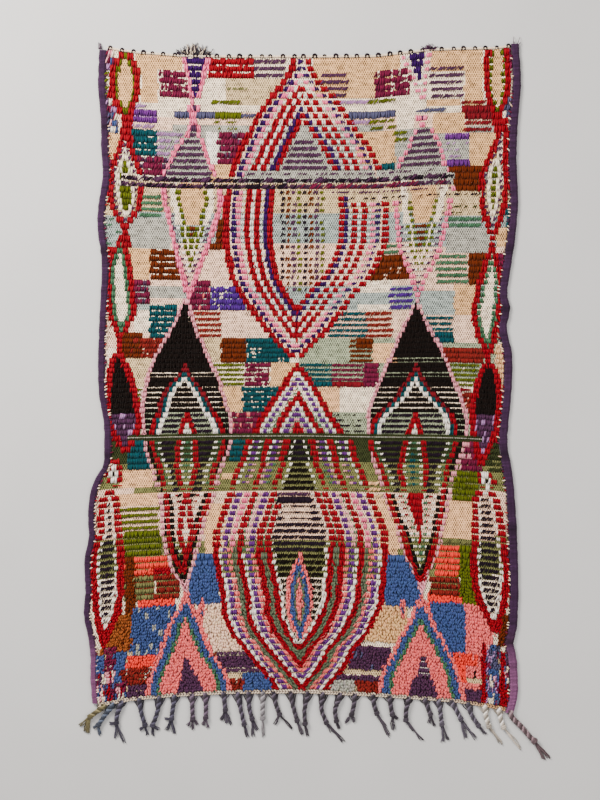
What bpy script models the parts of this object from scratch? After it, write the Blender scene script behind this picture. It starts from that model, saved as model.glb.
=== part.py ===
"""Knotted rag rug, laid flat.

A field of short rag knots, tied in rows, lies between two overcast side edges. A woven end
band carries the knotted warp fringe at the lower end, and a looped cord closes the upper end.
The origin is on the floor under the middle of the field, with +X across the rug and +Y along
it, toward the looped end. Sizes and tables are in millimetres, and the meshes are in metres.
"""
from collections import namedtuple

import bmesh
import bpy
import numpy as np

MM = 0.001
PART_GAP = 0.3

# Pile height at a row of knots and between rows, at the upper end and in the shaggier lower end
PILE_UPPER = 11.5
PILE_LOWER = 14.5
ROW_GROOVE = 3.5
SHAGGY_BELOW = -620
SHAGGY_BLEND = 160

# Overcast side edges: width at the lower and at the upper end, and height
SELVEDGE_WIDTH = {"left": (21, 27), "right": (31, 27)}
SELVEDGE_HEIGHT = 11
SELVEDGE_ROWS = 3

# Woven band at the fringed end, and looped cord at the other end
BAND_WIDTH = 15
BAND_HEIGHT = 8
BAND_STEP = 22
CORD_WIDTH = 9
CORD_HEIGHT = 7
LOOP_PITCH = 28
LOOP_BULGE = 4
LOOP_STEPS = 3

# Fringe strands: they lie level on the floor and rise a little where they enter their backing
STEM_WIDTH = 14
STEM_HEIGHT = 9
TAIL_WIDTH = 7
TAIL_HEIGHT = 5.5
TUFT_WIDTH = 5.5
TUFT_HEIGHT = 5
ROOT_DEPTH = 8
ROOT_RISE = 1.4
SHORT_STEM = 26
SHARP_ANGLE = 0.9
STRAND_TOP = 0.6

# Where the grid of the field has its columns, as shares of the width
COLUMN_SHARES = (0, 0.03, 0.08, 0.18, 0.32, 0.5, 0.66, 0.8, 0.88, 0.96, 1)

SidePoint = namedtuple("SidePoint", "y x")
EndPoint = namedtuple("EndPoint", "x y")
RowSpacing = namedtuple("RowSpacing", "y pitch")
Tassel = namedtuple("Tassel", "root bend knot tips")
Tuft = namedtuple("Tuft", "root lean height")
Corner = namedtuple("Corner", "across up")
Stop = namedtuple("Stop", "width height lift")

# Outlines of the side edge, band and cord, as shares of their width and height
SELVEDGE_PROFILE = (
    Corner(0.12, 0),
    Corner(1, 0),
    Corner(1, 0.72),
    Corner(0.62, 1),
    Corner(0.28, 0.94),
    Corner(0, 0.42),
)
BAND_PROFILE = (
    Corner(0, 0),
    Corner(0, 1),
    Corner(0.7, 1),
    Corner(1, 0.6),
    Corner(1, 0),
)
CORD_PROFILE = (
    Corner(0, 0),
    Corner(0, 1),
    Corner(0.5, 1),
    Corner(0.9, 0.5),
    Corner(0.8, 0),
)

# How much each corner of the cord's outline takes of a loop's bulge, outward and up
CORD_BULGE = (
    Corner(0, 0),
    Corner(0, 0),
    Corner(0, 0.5),
    Corner(1, 0),
    Corner(1, 0),
)

# Sizes along a strand: shares of its own width and height, and of the root's rise
STEM_STOPS = {
    "inside": Stop(1.3, 0.5, 1),
    "flare": Stop(1.5, 0.7, 0),
    "waist": Stop(1, 1, 0),
    "bend": Stop(0.9, 0.92, 0),
    "neck": Stop(0.85, 0.9, 0),
    "knot": Stop(1.15, 1.15, 0),
    "end": Stop(0.7, 0.65, 0),
}
TAIL_STOPS = {
    "inside": Stop(0.8, 0.75, 1),
    "leave": Stop(1, 1, 0.4),
    "half": Stop(0.85, 0.9, 0),
    "tip": Stop(0.5, 0.6, 0),
}
TUFT_STOPS = {
    "inside": Stop(0.8, 0.7, 1),
    "leave": Stop(1, 1, 0.3),
    "half": Stop(0.9, 0.9, 0),
    "tip": Stop(0.55, 0.6, 0),
}

# Outer line of each side, from the fringed end up
LEFT_SIDE = (
    SidePoint(-1070, -695),
    SidePoint(-991, -701),
    SidePoint(-910, -701),
    SidePoint(-861, -707),
    SidePoint(-780, -723),
    SidePoint(-715, -718),
    SidePoint(-585, -718),
    SidePoint(-540, -707),
    SidePoint(-455, -709),
    SidePoint(-390, -702),
    SidePoint(-341, -686),
    SidePoint(-305, -663),
    SidePoint(-228, -656),
    SidePoint(-166, -657),
    SidePoint(-68, -673),
    SidePoint(59, -676),
    SidePoint(215, -670),
    SidePoint(371, -665),
    SidePoint(488, -679),
    SidePoint(566, -673),
    SidePoint(644, -661),
    SidePoint(728, -666),
    SidePoint(839, -668),
    SidePoint(917, -676),
    SidePoint(1052, -673),
)
RIGHT_SIDE = (
    SidePoint(-1100, 676),
    SidePoint(-1056, 687),
    SidePoint(-959, 688),
    SidePoint(-910, 683),
    SidePoint(-874, 674),
    SidePoint(-839, 683),
    SidePoint(-748, 690),
    SidePoint(-556, 687),
    SidePoint(-374, 677),
    SidePoint(-276, 663),
    SidePoint(-228, 655),
    SidePoint(-166, 658),
    SidePoint(-65, 668),
    SidePoint(65, 670),
    SidePoint(163, 653),
    SidePoint(212, 665),
    SidePoint(250, 655),
    SidePoint(325, 663),
    SidePoint(439, 680),
    SidePoint(553, 690),
    SidePoint(679, 685),
    SidePoint(813, 688),
    SidePoint(943, 699),
    SidePoint(1072, 692),
)

# Outer line of the looped end, and the line where the field meets the end band
UPPER_END = (
    EndPoint(-673, 1056),
    EndPoint(-647, 1064),
    EndPoint(-610, 1057),
    EndPoint(-533, 1047),
    EndPoint(-406, 1038),
    EndPoint(-263, 1035),
    EndPoint(-20, 1035),
    EndPoint(153, 1034),
    EndPoint(322, 1044),
    EndPoint(400, 1057),
    EndPoint(481, 1063),
    EndPoint(546, 1057),
    EndPoint(640, 1066),
    EndPoint(683, 1072),
)
LOWER_END = (
    EndPoint(-680, -1069),
    EndPoint(-605, -1053),
    EndPoint(-478, -1037),
    EndPoint(-348, -1030),
    EndPoint(-130, -1020),
    EndPoint(-33, -1021),
    EndPoint(118, -1030),
    EndPoint(254, -1033),
    EndPoint(416, -1047),
    EndPoint(546, -1059),
    EndPoint(650, -1081),
)

# Spacing of the rows of knots, from the upper end down
ROW_SPACING = (
    RowSpacing(1040, 22.4),
    RowSpacing(780, 21.5),
    RowSpacing(620, 20),
    RowSpacing(240, 19.5),
    RowSpacing(30, 15.5),
    RowSpacing(-90, 17),
    RowSpacing(-220, 18.5),
    RowSpacing(-650, 20.5),
    RowSpacing(-900, 19),
    RowSpacing(-1030, 18),
)

# Each tassel: where its root leaves the band, a bend, its knot, and the ends of its tails
FRINGE = (
    Tassel(-658, (-680, -1097), (-702, -1113), ((-737, -1143), (-721, -1167), (-708, -1168))),
    Tassel(-629, (-653, -1108), (-675, -1140), ((-693, -1150), (-669, -1175))),
    Tassel(-600, (-614, -1108), (-616, -1134), ((-641, -1136), (-621, -1186), (-589, -1203))),
    Tassel(-541, (-533, -1108), (-523, -1140), ((-541, -1158), (-516, -1176))),
    Tassel(-476, (-486, -1108), (-499, -1142), ((-496, -1178), (-476, -1156))),
    Tassel(-427, (-434, -1095), (-437, -1121), ((-461, -1118), (-454, -1162), (-428, -1170))),
    Tassel(-370, (-369, -1092), (-368, -1119), ((-385, -1145), (-369, -1157), (-351, -1140))),
    Tassel(-326, (-325, -1090), (-326, -1117), ((-335, -1143), (-317, -1151))),
    Tassel(-267, (-264, -1072), (-262, -1092), ((-276, -1128), (-258, -1140), (-241, -1143))),
    Tassel(-222, (-210, -1098), (-201, -1138), ((-190, -1183),)),
    Tassel(-186, (-184, -1086), (-175, -1120), ((-158, -1160), (-172, -1180))),
    Tassel(-140, (-141, -1086), (-141, -1118), ((-137, -1181),)),
    Tassel(-105, (-96, -1078), (-86, -1106), ((-103, -1141), (-42, -1154))),
    Tassel(-50, (-39, -1090), (-29, -1126), ((-10, -1172),)),
    Tassel(6, (-5, -1090), (-3, -1136), ((8, -1178),)),
    Tassel(54, (50, -1089), (66, -1132), ((88, -1166), (126, -1201))),
    Tassel(110, (94, -1092), (99, -1127), ((108, -1155),)),
    Tassel(158, (154, -1082), (148, -1106), ((158, -1134), (125, -1136))),
    Tassel(218, (222, -1078), (230, -1102), ((263, -1150), (274, -1183))),
    Tassel(272, (276, -1084), (280, -1106), ((300, -1122), (284, -1160))),
    Tassel(333, (325, -1092), (324, -1124), ((352, -1164), (380, -1194))),
    Tassel(388, (396, -1084), (404, -1106), ((400, -1136), (419, -1146))),
    Tassel(431, (436, -1096), (441, -1138), ((445, -1197), (463, -1192))),
    Tassel(474, (488, -1092), (503, -1121), ((520, -1186), (555, -1186))),
    Tassel(527, (538, -1108), (560, -1142), ((586, -1172),)),
    Tassel(581, (584, -1108), (594, -1145), ((639, -1205),)),
    Tassel(627, (630, -1112), (642, -1148), ((702, -1224),)),
)

# Loose warp tail that goes on from the lower corner of the right side
CORNER_TAIL = (
    Tassel(664, (690, -1136), (742, -1192), ((776, -1258), (794, -1250))),
)

# Frayed warp ends that stand out of the looped end
UPPER_TUFTS = (
    Tuft(-404, -16, 24),
    Tuft(-393, -9, 36),
    Tuft(-382, -2, 44),
    Tuft(-371, 6, 41),
    Tuft(-360, 4, 47),
    Tuft(-349, 12, 38),
    Tuft(-338, 15, 42),
    Tuft(-327, 22, 28),
    Tuft(392, -8, 20),
    Tuft(402, 6, 24),
    Tuft(412, 14, 14),
)

Finish = namedtuple("Finish", "colour roughness")
FINISHES = {
    "pile_field": Finish((0.52, 0.27, 0.24), 0.95),
    "selvedge_left": Finish((0.075, 0.032, 0.11), 0.9),
    "selvedge_right": Finish((0.085, 0.036, 0.12), 0.9),
    "fringe_end_band": Finish((0.06, 0.055, 0.065), 0.9),
    "top_edge_cord": Finish((0.74, 0.62, 0.45), 0.92),
}


def clear_scene():
    for item in list(bpy.data.objects):
        bpy.data.objects.remove(item, do_unlink=True)


def make_collection(name):
    group = bpy.data.collections.new(name)
    bpy.context.scene.collection.children.link(group)
    return group


def make_material(name, finish):
    material = bpy.data.materials.new(name)
    material.use_nodes = True
    shader = material.node_tree.nodes["Principled BSDF"]
    shader.inputs["Base Color"].default_value = (*finish.colour, 1)
    shader.inputs["Roughness"].default_value = finish.roughness
    shader.inputs["Metallic"].default_value = 0
    return material


def smooth_through(knots, values, at):
    """Read a cubic that runs through the knots and leans at each one toward its neighbours."""
    knots = np.asarray(knots, float)
    values = np.asarray(values, float)
    slopes = np.gradient(values, knots)
    at = np.clip(at, knots[0], knots[-1])
    cell = np.clip(np.searchsorted(knots, at, side="right") - 1, 0, len(knots) - 2)
    width = knots[cell + 1] - knots[cell]
    t = (at - knots[cell]) / width
    start = (2 * t**3 - 3 * t**2 + 1) * values[cell] + (t**3 - 2 * t**2 + t) * width * slopes[cell]
    end = (3 * t**2 - 2 * t**3) * values[cell + 1] + (t**3 - t**2) * width * slopes[cell + 1]
    return start + end


def side_line(side, table, stations=None):
    """Stations along one side, as columns y, outer x and inner x."""
    ys = np.array([point.y for point in table])
    outer = [point.x for point in table]
    if stations is None:
        stations = np.arange(ys[0], ys[-1])
    edge = smooth_through(ys, outer, stations)
    share = (stations - ys[0]) / (ys[-1] - ys[0])
    lower, upper = SELVEDGE_WIDTH[side]
    inward = 1 if side == "left" else -1
    return stations, edge, edge + inward * (lower + (upper - lower) * share)


def end_y(table, x):
    return smooth_through([point.x for point in table], [point.y for point in table], x)


def row_shares():
    """Each row of knots and each groove between rows, as shares of the way up the field."""
    spots = [point.y for point in reversed(ROW_SPACING)]
    pitches = [point.pitch for point in reversed(ROW_SPACING)]
    rows = [spots[-1]]
    while rows[-1] > spots[0]:
        rows.append(rows[-1] - float(smooth_through(spots, pitches, rows[-1])))
    lines = np.array(rows[::-1])
    shares = (lines - lines[0]) / (lines[-1] - lines[0])
    halves = (shares[:-1] + shares[1:]) / 2
    return np.sort(np.concatenate([shares, halves]))


def field_grid(left, right):
    """Corners of the field's grid in plan: the ends bow, and the bow fades toward the middle."""
    lowest = np.mean([point.y for point in LOWER_END])
    highest = np.mean([point.y for point in UPPER_END]) - CORD_WIDTH
    shares = row_shares()
    plain = lowest + (highest - lowest) * shares

    def bowed(x):
        lower_bow = end_y(LOWER_END, x) - lowest
        upper_bow = end_y(UPPER_END, x) - CORD_WIDTH - highest
        return plain + lower_bow * (1 - shares) ** 2 + upper_bow * shares**2

    borders = []
    for stations, _outer, inner in (left, right):
        inward = PART_GAP if inner[0] < 0 else -PART_GAP
        x = np.full(len(shares), inner[0])
        for _step in range(6):
            x = np.interp(bowed(x), stations, inner) + inward
        borders.append(x)
    columns = []
    for across in COLUMN_SHARES:
        x = borders[0] + (borders[1] - borders[0]) * across
        columns.append(np.column_stack([x, bowed(x)]))
    return np.array(columns)


def pile_height(x_share, y, is_groove):
    """Top of the pile: rows stand over grooves, and the lower end is shaggier."""
    shaggy = np.clip((SHAGGY_BELOW + SHAGGY_BLEND / 2 - y) / SHAGGY_BLEND, 0, 1)
    top = PILE_UPPER + (PILE_LOWER - PILE_UPPER) * shaggy
    if is_groove or x_share in (0, 1):
        return top - ROW_GROOVE
    return top


def add_object(name, mesh, group, material):
    item = bpy.data.objects.new(name, mesh)
    group.objects.link(item)
    if material:
        mesh.materials.append(material)
    return item


def mesh_from(builder, name):
    bmesh.ops.recalc_face_normals(builder, faces=builder.faces)
    mesh = bpy.data.meshes.new(name)
    builder.to_mesh(mesh)
    builder.free()
    return mesh


def side_stations(table, border):
    """Ends of one side and every few rows between them, so its bends fall on rows of the field."""
    rows = border[::SELVEDGE_ROWS, 1]
    return np.concatenate([[table[0].y], rows[rows > table[0].y + 1], [table[-1].y]])


def build_field(grid, group, material):
    """A grid with raised rows, drawn down to one flat face on the floor."""
    across = len(COLUMN_SHARES)
    along = grid.shape[1]
    builder = bmesh.new()
    bmesh.ops.create_grid(builder, x_segments=across - 1, y_segments=along - 1, size=1)
    builder.verts.ensure_lookup_table()
    order = sorted(builder.verts, key=lambda vert: (round(vert.co.x, 6), vert.co.y))
    for index, vert in enumerate(order):
        column, row = divmod(index, along)
        x, y = grid[column, row]
        height = pile_height(COLUMN_SHARES[column], y, row % 2 == 0)
        vert.co = (x * MM, y * MM, height * MM)
    upper = list(builder.faces)
    drawn = bmesh.ops.extrude_face_region(builder, geom=upper, use_keep_orig=True)
    floor = [piece for piece in drawn["geom"] if isinstance(piece, bmesh.types.BMFace)]
    for piece in drawn["geom"]:
        if isinstance(piece, bmesh.types.BMVert):
            piece.co.z = 0
    bmesh.ops.dissolve_faces(builder, faces=floor, use_verts=False)
    return add_object("pile_field", mesh_from(builder, "pile_field"), group, material)


def loft(sections):
    """Skin a row of like sections, with a cap at each end. Sections hold points in millimetres."""
    builder = bmesh.new()
    loops = [[builder.verts.new([value * MM for value in point]) for point in loop] for loop in sections]
    for near, far in zip(loops, loops[1:]):
        for corner, vert in enumerate(near):
            following = (corner + 1) % len(near)
            builder.faces.new((vert, near[following], far[following], far[corner]))
    builder.faces.new(loops[0])
    builder.faces.new(reversed(loops[-1]))
    return builder


def span_between(left, right, corner_ys):
    """Where a strip runs from side to side, clear of both side edges at its own height."""
    first = max(np.interp(corner_ys[0], left[0], left[2]))
    last = min(np.interp(corner_ys[1], right[0], right[2]))
    return first + PART_GAP, last - PART_GAP


def selvedge_sections(line):
    """Low rounded cord with a flat underside, one section at each station of the side."""
    sections = []
    for y, outer, inner in zip(*line):
        sections.append([
            (outer + (inner - outer) * corner.across, y, SELVEDGE_HEIGHT * corner.up)
            for corner in SELVEDGE_PROFILE
        ])
    return sections


def band_sections(lower_line, left, right):
    """Flat strip along the fringed end, just clear of the field."""
    corner_ys = [(y, y - BAND_WIDTH - PART_GAP) for y in lower_line[[0, -1], 1]]
    first, last = span_between(left, right, corner_ys)
    sections = []
    for x in np.linspace(first, last, round((last - first) / BAND_STEP) + 1):
        top = np.interp(x, lower_line[:, 0], lower_line[:, 1]) - PART_GAP
        sections.append([
            (x, top - BAND_WIDTH * corner.across, BAND_HEIGHT * corner.up)
            for corner in BAND_PROFILE
        ])
    return sections


def cord_sections(upper_line, left, right):
    """Cord along the looped end: it bulges outward and up at each warp loop."""
    corner_ys = [(y, y + CORD_WIDTH + LOOP_BULGE) for y in upper_line[[0, -1], 1]]
    first, last = span_between(left, right, corner_ys)
    loops = round((last - first) / LOOP_PITCH)
    sections = []
    for step, x in enumerate(np.linspace(first, last, loops * LOOP_STEPS + 1)):
        base = np.interp(x, upper_line[:, 0], upper_line[:, 1]) + PART_GAP
        bulge = LOOP_BULGE if step % LOOP_STEPS == 1 else 0
        sections.append([
            (
                x,
                base + CORD_WIDTH * corner.across + bulge * swell.across,
                CORD_HEIGHT * corner.up + bulge * swell.up,
            )
            for corner, swell in zip(CORD_PROFILE, CORD_BULGE)
        ])
    return sections


def strand_stop(place, stop, width, height):
    return (*place, width * stop.width, height * stop.height, ROOT_RISE * stop.lift)


def strand_sections(path):
    """Four-sided strand. Each stop of the path is x, y, width, height and how far it is lifted."""
    stops = np.array(path, float)
    headings = np.gradient(stops[:, :2], axis=0)
    sections = []
    for (x, y, width, height, lift), (east, north) in zip(stops, headings):
        length = np.hypot(east, north)
        side_x = -north / length * width / 2
        side_y = east / length * width / 2
        sections.append([
            (x - side_x, y - side_y, lift),
            (x + side_x, y + side_y, lift),
            (x + side_x * STRAND_TOP, y + side_y * STRAND_TOP, lift + height),
            (x - side_x * STRAND_TOP, y - side_y * STRAND_TOP, lift + height),
        ])
    return sections


def unit(vector):
    return vector / np.linalg.norm(vector)


def tassel_strands(tassel, root_y):
    """The stem from inside its backing to past its knot, and one strand for each tail."""
    root = np.array([tassel.root, root_y])
    bend = np.array(tassel.bend)
    knot = np.array(tassel.knot)
    down = unit(bend - root)
    on = unit(knot - bend)
    places = {
        "inside": root + (0, ROOT_DEPTH),
        "flare": root + down * 2,
        "waist": root + down * STEM_WIDTH * 1.15,
        "bend": bend,
        "neck": knot - on * 9,
        "knot": knot,
        "end": knot + on * 5,
    }
    if np.linalg.norm(bend - root) < SHORT_STEM:
        places.pop("waist")
    stem = [
        strand_stop(place, STEM_STOPS[name], STEM_WIDTH, STEM_HEIGHT)
        for name, place in places.items()
    ]
    strands = [stem]
    for tip in tassel.tips:
        start = knot + on * 1.5
        leave = start + unit(tip - knot) * 9
        places = {"inside": start, "leave": leave, "half": (leave + tip) / 2 + on * 2, "tip": tip}
        strands.append([
            strand_stop(place, TAIL_STOPS[name], TAIL_WIDTH, TAIL_HEIGHT)
            for name, place in places.items()
        ])
    return strands


def tuft_strand(tuft, root_y):
    """One frayed warp end, rooted in the looped cord."""
    places = {
        "inside": (tuft.root, root_y - 4),
        "leave": (tuft.root + tuft.lean * 0.1, root_y + 4),
        "half": (tuft.root + tuft.lean * 0.35, root_y + tuft.height * 0.5),
        "tip": (tuft.root + tuft.lean, root_y + tuft.height),
    }
    return [
        strand_stop(place, TUFT_STOPS[name], TUFT_WIDTH, TUFT_HEIGHT)
        for name, place in places.items()
    ]


def fuse(item, strands, name, guides):
    """Join the strands to their backing, as one closed body."""
    rooted = bpy.data.collections.new(name)
    guides.children.link(rooted)
    for number, path in enumerate(strands):
        mesh = mesh_from(loft(strand_sections(path)), f"{name}_{number}")
        guide = add_object(f"{name}_{number}", mesh, rooted, None)
        guide.hide_render = True
        guide.display_type = "WIRE"
    joint = item.modifiers.new("fused_strands", "BOOLEAN")
    joint.operation = "UNION"
    joint.operand_type = "COLLECTION"
    joint.collection = rooted
    joint.solver = "EXACT"


def soften(item):
    item.data.shade_smooth()
    item.data.set_sharp_from_angle(angle=SHARP_ANGLE)


def main():
    clear_scene()
    group = make_collection("boucherouite_rug")
    guides = make_collection("guides")
    materials = {name: make_material(name, finish) for name, finish in FINISHES.items()}

    left = side_line("left", LEFT_SIDE)
    right = side_line("right", RIGHT_SIDE)
    grid = field_grid(left, right)
    left = side_line("left", LEFT_SIDE, side_stations(LEFT_SIDE, grid[0]))
    right = side_line("right", RIGHT_SIDE, side_stations(RIGHT_SIDE, grid[-1]))
    grid = field_grid(left, right)
    build_field(grid, group, materials["pile_field"])

    for side, line in (("left", left), ("right", right)):
        name = f"selvedge_{side}"
        mesh = mesh_from(loft(selvedge_sections(line)), name)
        item = add_object(name, mesh, group, materials[name])
        soften(item)
        if side == "right":
            corner_y = line[0][0]
            tails = [strand for tassel in CORNER_TAIL for strand in tassel_strands(tassel, corner_y)]
            fuse(item, tails, "corner_tail", guides)

    lower_line = grid[:, 0]
    band = add_object(
        "fringe_end_band",
        mesh_from(loft(band_sections(lower_line, left, right)), "fringe_end_band"),
        group,
        materials["fringe_end_band"],
    )
    strands = []
    for tassel in FRINGE:
        root_y = np.interp(tassel.root, lower_line[:, 0], lower_line[:, 1]) - BAND_WIDTH
        strands += tassel_strands(tassel, root_y)
    fuse(band, strands, "fringe_strand", guides)

    upper_line = grid[:, -1]
    cord = add_object(
        "top_edge_cord",
        mesh_from(loft(cord_sections(upper_line, left, right)), "top_edge_cord"),
        group,
        materials["top_edge_cord"],
    )
    tufts = []
    for tuft in UPPER_TUFTS:
        root_y = np.interp(tuft.root, upper_line[:, 0], upper_line[:, 1]) + CORD_WIDTH
        tufts.append(tuft_strand(tuft, root_y))
    fuse(cord, tufts, "tuft_strand", guides)


main()
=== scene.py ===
"""Looks of a knotted rag rug, laid flat on a pale floor and seen from straight above.

The ground weave, its rows of rag knots, the overcast side edges, the woven end band with its
knotted fringe and the looped cord are each made by one operator. Lengths of the rug's own
pattern are in centimetres, counted from the middle of the field, with x across and y along it.
"""
import math
from collections import namedtuple

import bpy
import numpy as np
from bpy.props import FloatProperty, FloatVectorProperty, IntProperty
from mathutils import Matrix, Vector


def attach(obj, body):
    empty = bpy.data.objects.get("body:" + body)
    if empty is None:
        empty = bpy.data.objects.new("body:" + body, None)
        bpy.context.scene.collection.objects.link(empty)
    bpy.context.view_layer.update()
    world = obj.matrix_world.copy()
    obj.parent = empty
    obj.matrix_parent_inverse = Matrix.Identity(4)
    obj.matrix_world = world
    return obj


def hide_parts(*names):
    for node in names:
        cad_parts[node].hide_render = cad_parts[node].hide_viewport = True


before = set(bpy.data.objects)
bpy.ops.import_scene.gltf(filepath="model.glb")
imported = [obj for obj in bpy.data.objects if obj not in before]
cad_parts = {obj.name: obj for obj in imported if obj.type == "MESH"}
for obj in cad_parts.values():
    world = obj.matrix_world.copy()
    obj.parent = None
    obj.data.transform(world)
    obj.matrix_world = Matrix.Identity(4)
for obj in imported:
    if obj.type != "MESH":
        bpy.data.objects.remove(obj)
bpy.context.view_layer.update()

bl_info = {
    "name": "Knotted rag rug",
    "version": (1, 0, 0),
    "blender": (4, 5, 0),
    "location": "View3D > Sidebar > Rag rug",
    "description": "Builds a flat rag rug with lozenges, side edges, fringe and a looped end",
    "category": "Object",
}

BODY = "root"
MM = 0.001
CM = 0.01
SEED = 41

# Yarns and rags, by the colour they are dyed
YARNS = {
    "sand": "dcb07c",
    "peach": "eebc8a",
    "cream": "fbecd2",
    "white": "fffaf0",
    "blush": "f2cfb4",
    "oat": "cfb98f",
    "silver": "a3a69d",
    "mist": "98a8a5",
    "sage": "95a388",
    "raspberry": "681639",
    "lavender": "a27cb0",
    "violet": "5e2a7a",
    "iris": "46207c",
    "purple": "300a52",
    "red": "8c0018",
    "scarlet": "f03a30",
    "pink": "ff76a0",
    "shell": "e59aaa",
    "coral": "ea6c6e",
    "olive": "525d0e",
    "khaki": "6c7044",
    "forest": "2e361c",
    "teal": "08464f",
    "brown": "5d2509",
    "rust": "761f1a",
    "tan": "8a4a20",
    "plum": "482a48",
    "ink": "1c1020",
    "black": "0f0806",
    "denim": "3a4f84",
    "bottle": "3f6b4f",
    "moss": "5a6853",
    "oxblood": "72101e",
    "slate": "4a4c6c",
    "gold": "c9a758",
}
YARN_NAMES = list(YARNS)
YARN_NUMBER = {name: number for number, name in enumerate(YARN_NAMES)}

RowSpacing = namedtuple("RowSpacing", "y pitch")
Weft = namedtuple("Weft", "top bottom left right yarn knots", defaults=(1,))
Patch = namedtuple(
    "Patch", "left right top bottom yarn weave second", defaults=("bare", "cream")
)
Edge = namedtuple("Edge", "y left right")
Layer = namedtuple("Layer", "yarn width weave second", defaults=(None,))
Figure = namedtuple("Figure", "outline layers top bottom", defaults=(999, -999))
Weave = namedtuple("Weave", "cover fleck lean relief")
Tassel = namedtuple("Tassel", "root bend knot tips")
FringeDye = namedtuple("FringeDye", "last colour")
Tuft = namedtuple("Tuft", "root lean height")
Heart = namedtuple("Heart", "inset top bottom")

# Spacing of the rows of knots in millimetres, from the upper end down
ROW_SPACING = (
    RowSpacing(1040, 22.4),
    RowSpacing(780, 21.5),
    RowSpacing(620, 20),
    RowSpacing(240, 19.5),
    RowSpacing(30, 15.5),
    RowSpacing(-90, 17),
    RowSpacing(-220, 18.5),
    RowSpacing(-650, 20.5),
    RowSpacing(-900, 19),
    RowSpacing(-1030, 18),
)

# How much of a row's height a knot covers, how often another yarn shows in it, how far its tuft
# leans to the left for each length that it reaches down, and how much single strands stand out,
# which also sets how strongly shade is painted on their sides
WEAVES = {
    "bare": Weave(0, 0, 0, 0),
    "ticks": Weave(0.48, 0.5, 0.8, 1),
    "rows": Weave(0.65, 0.03, 0.6, 1),
    "dashes": Weave(0.6, 0.25, 0.8, 1),
    "marks": Weave(0.55, 0, 0.3, 0.9),
    "beads": Weave(0.74, 0, 0.1, 0.7),
    "thread": Weave(0.38, 0, 0.4, 0.9),
    "hair": Weave(0.22, 0, 0.2, 0.9),
    "ragged": Weave(0.7, 0.2, 0.9, 1),
    "streaked": Weave(0.9, 0.16, 0.15, 0.8),
    "mixed": Weave(1.0, 0.2, 0.2, 1),
    "lined": Weave(0.78, 0.02, 0.1, 0.7),
    "barred": Weave(1.02, 0.02, 0.1, 0.5),
    "blocks": Weave(0.98, 0, 0, 0.6),
    "solid": Weave(1.12, 0.02, 0.05, 0.35),
    "flecked": Weave(1.0, 0.14, 0.2, 0.8),
    "ribbed": Weave(0.96, 0.04, 0.08, 0.7),
}

# Levels of a knot's luck, from 0 to 1, past which it differs from the rest of its weave
RIBBED_SHORT_ABOVE = 0.5
RAGGED_SECOND_ABOVE = 0.56
MIXED_ABOVE = 0.5
MIXED_STEP = 0.08
MISSING_MARKS_BELOW = 0.22

# A second yarn shows in this many times its weave's own share of flecks
FLECK_REACH = 1.6

# Cover of the knots that differ from the rest of their weave, and what luck adds to it
RIBBED_SHORT = 0.78
BARRED_THIRD_ROW = 0.66
STREAKED_LEAST = 0.76
STREAKED_MORE = 0.3
RAGGED_LEAST = 0.42
RAGGED_MORE = 0.6
PALE_FLECK = 0.55
MARK_COVER = 0.62

# How far a lozenge's own knots follow the thinner cover of their zone, less so the red ones
RED_YIELD = 0.35
OTHER_YIELD = 0.8

# The lozenges are tied looser in the upper right of the rug
LOOSE_RIGHT_OF = -2
LOOSE_ABOVE = 18
LOOSE_COVER = 0.82

# Odd rags among the knots of a mixed strip
MIXED_RAGS = ("raspberry", "denim", "shell", "cream")
PALE_RAGS = ("white", "cream", "blush")
MARK_YARNS = ("ink", "brown", "plum", "olive")
TURN_YARNS = ("cream", "plum", "blush", "raspberry", "red")

# Colour of the weft that shows between the rows
WEFTS = (
    Weft(110, 84, -70, 70, "cream"),
    Weft(84, 80, -70, 70, "blush"),
    Weft(80, 62, -70, 70, "cream"),
    Weft(80, 62, -48, 62, "silver"),
    Weft(62, 52, -70, 70, "oat"),
    Weft(52, 42, -70, 70, "mist"),
    Weft(42, 28, -70, 70, "blush", 0.95),
    Weft(28, 20.5, -70, 70, "mist", 0.9),
    Weft(20.5, 11, -70, 70, "blush", 0.9),
    Weft(11, -2, -70, -2, "cream", 0.9),
    Weft(11, -2, -2, 70, "sage", 0.9),
    Weft(-2, -12, -70, 70, "cream", 0.94),
    Weft(-12, -19.2, -70, 70, "sage", 0.94),
    Weft(-19.2, -29, -70, 70, "forest", 0.74),
    Weft(-29, -36, -70, 70, "khaki", 0.7),
    Weft(-36, -37.9, -70, 70, "khaki", 0.04),
    Weft(-37.9, -53.5, -70, 70, "blush", 0.66),
    Weft(-53.5, -57, -70, 70, "khaki", 0.7),
    Weft(-57, -66, -70, 70, "khaki", 0.86),
    Weft(-66, -90, -70, 70, "cream", 1.06),
    Weft(-90, -112, -70, 70, "oat", 1.06),
)

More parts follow.
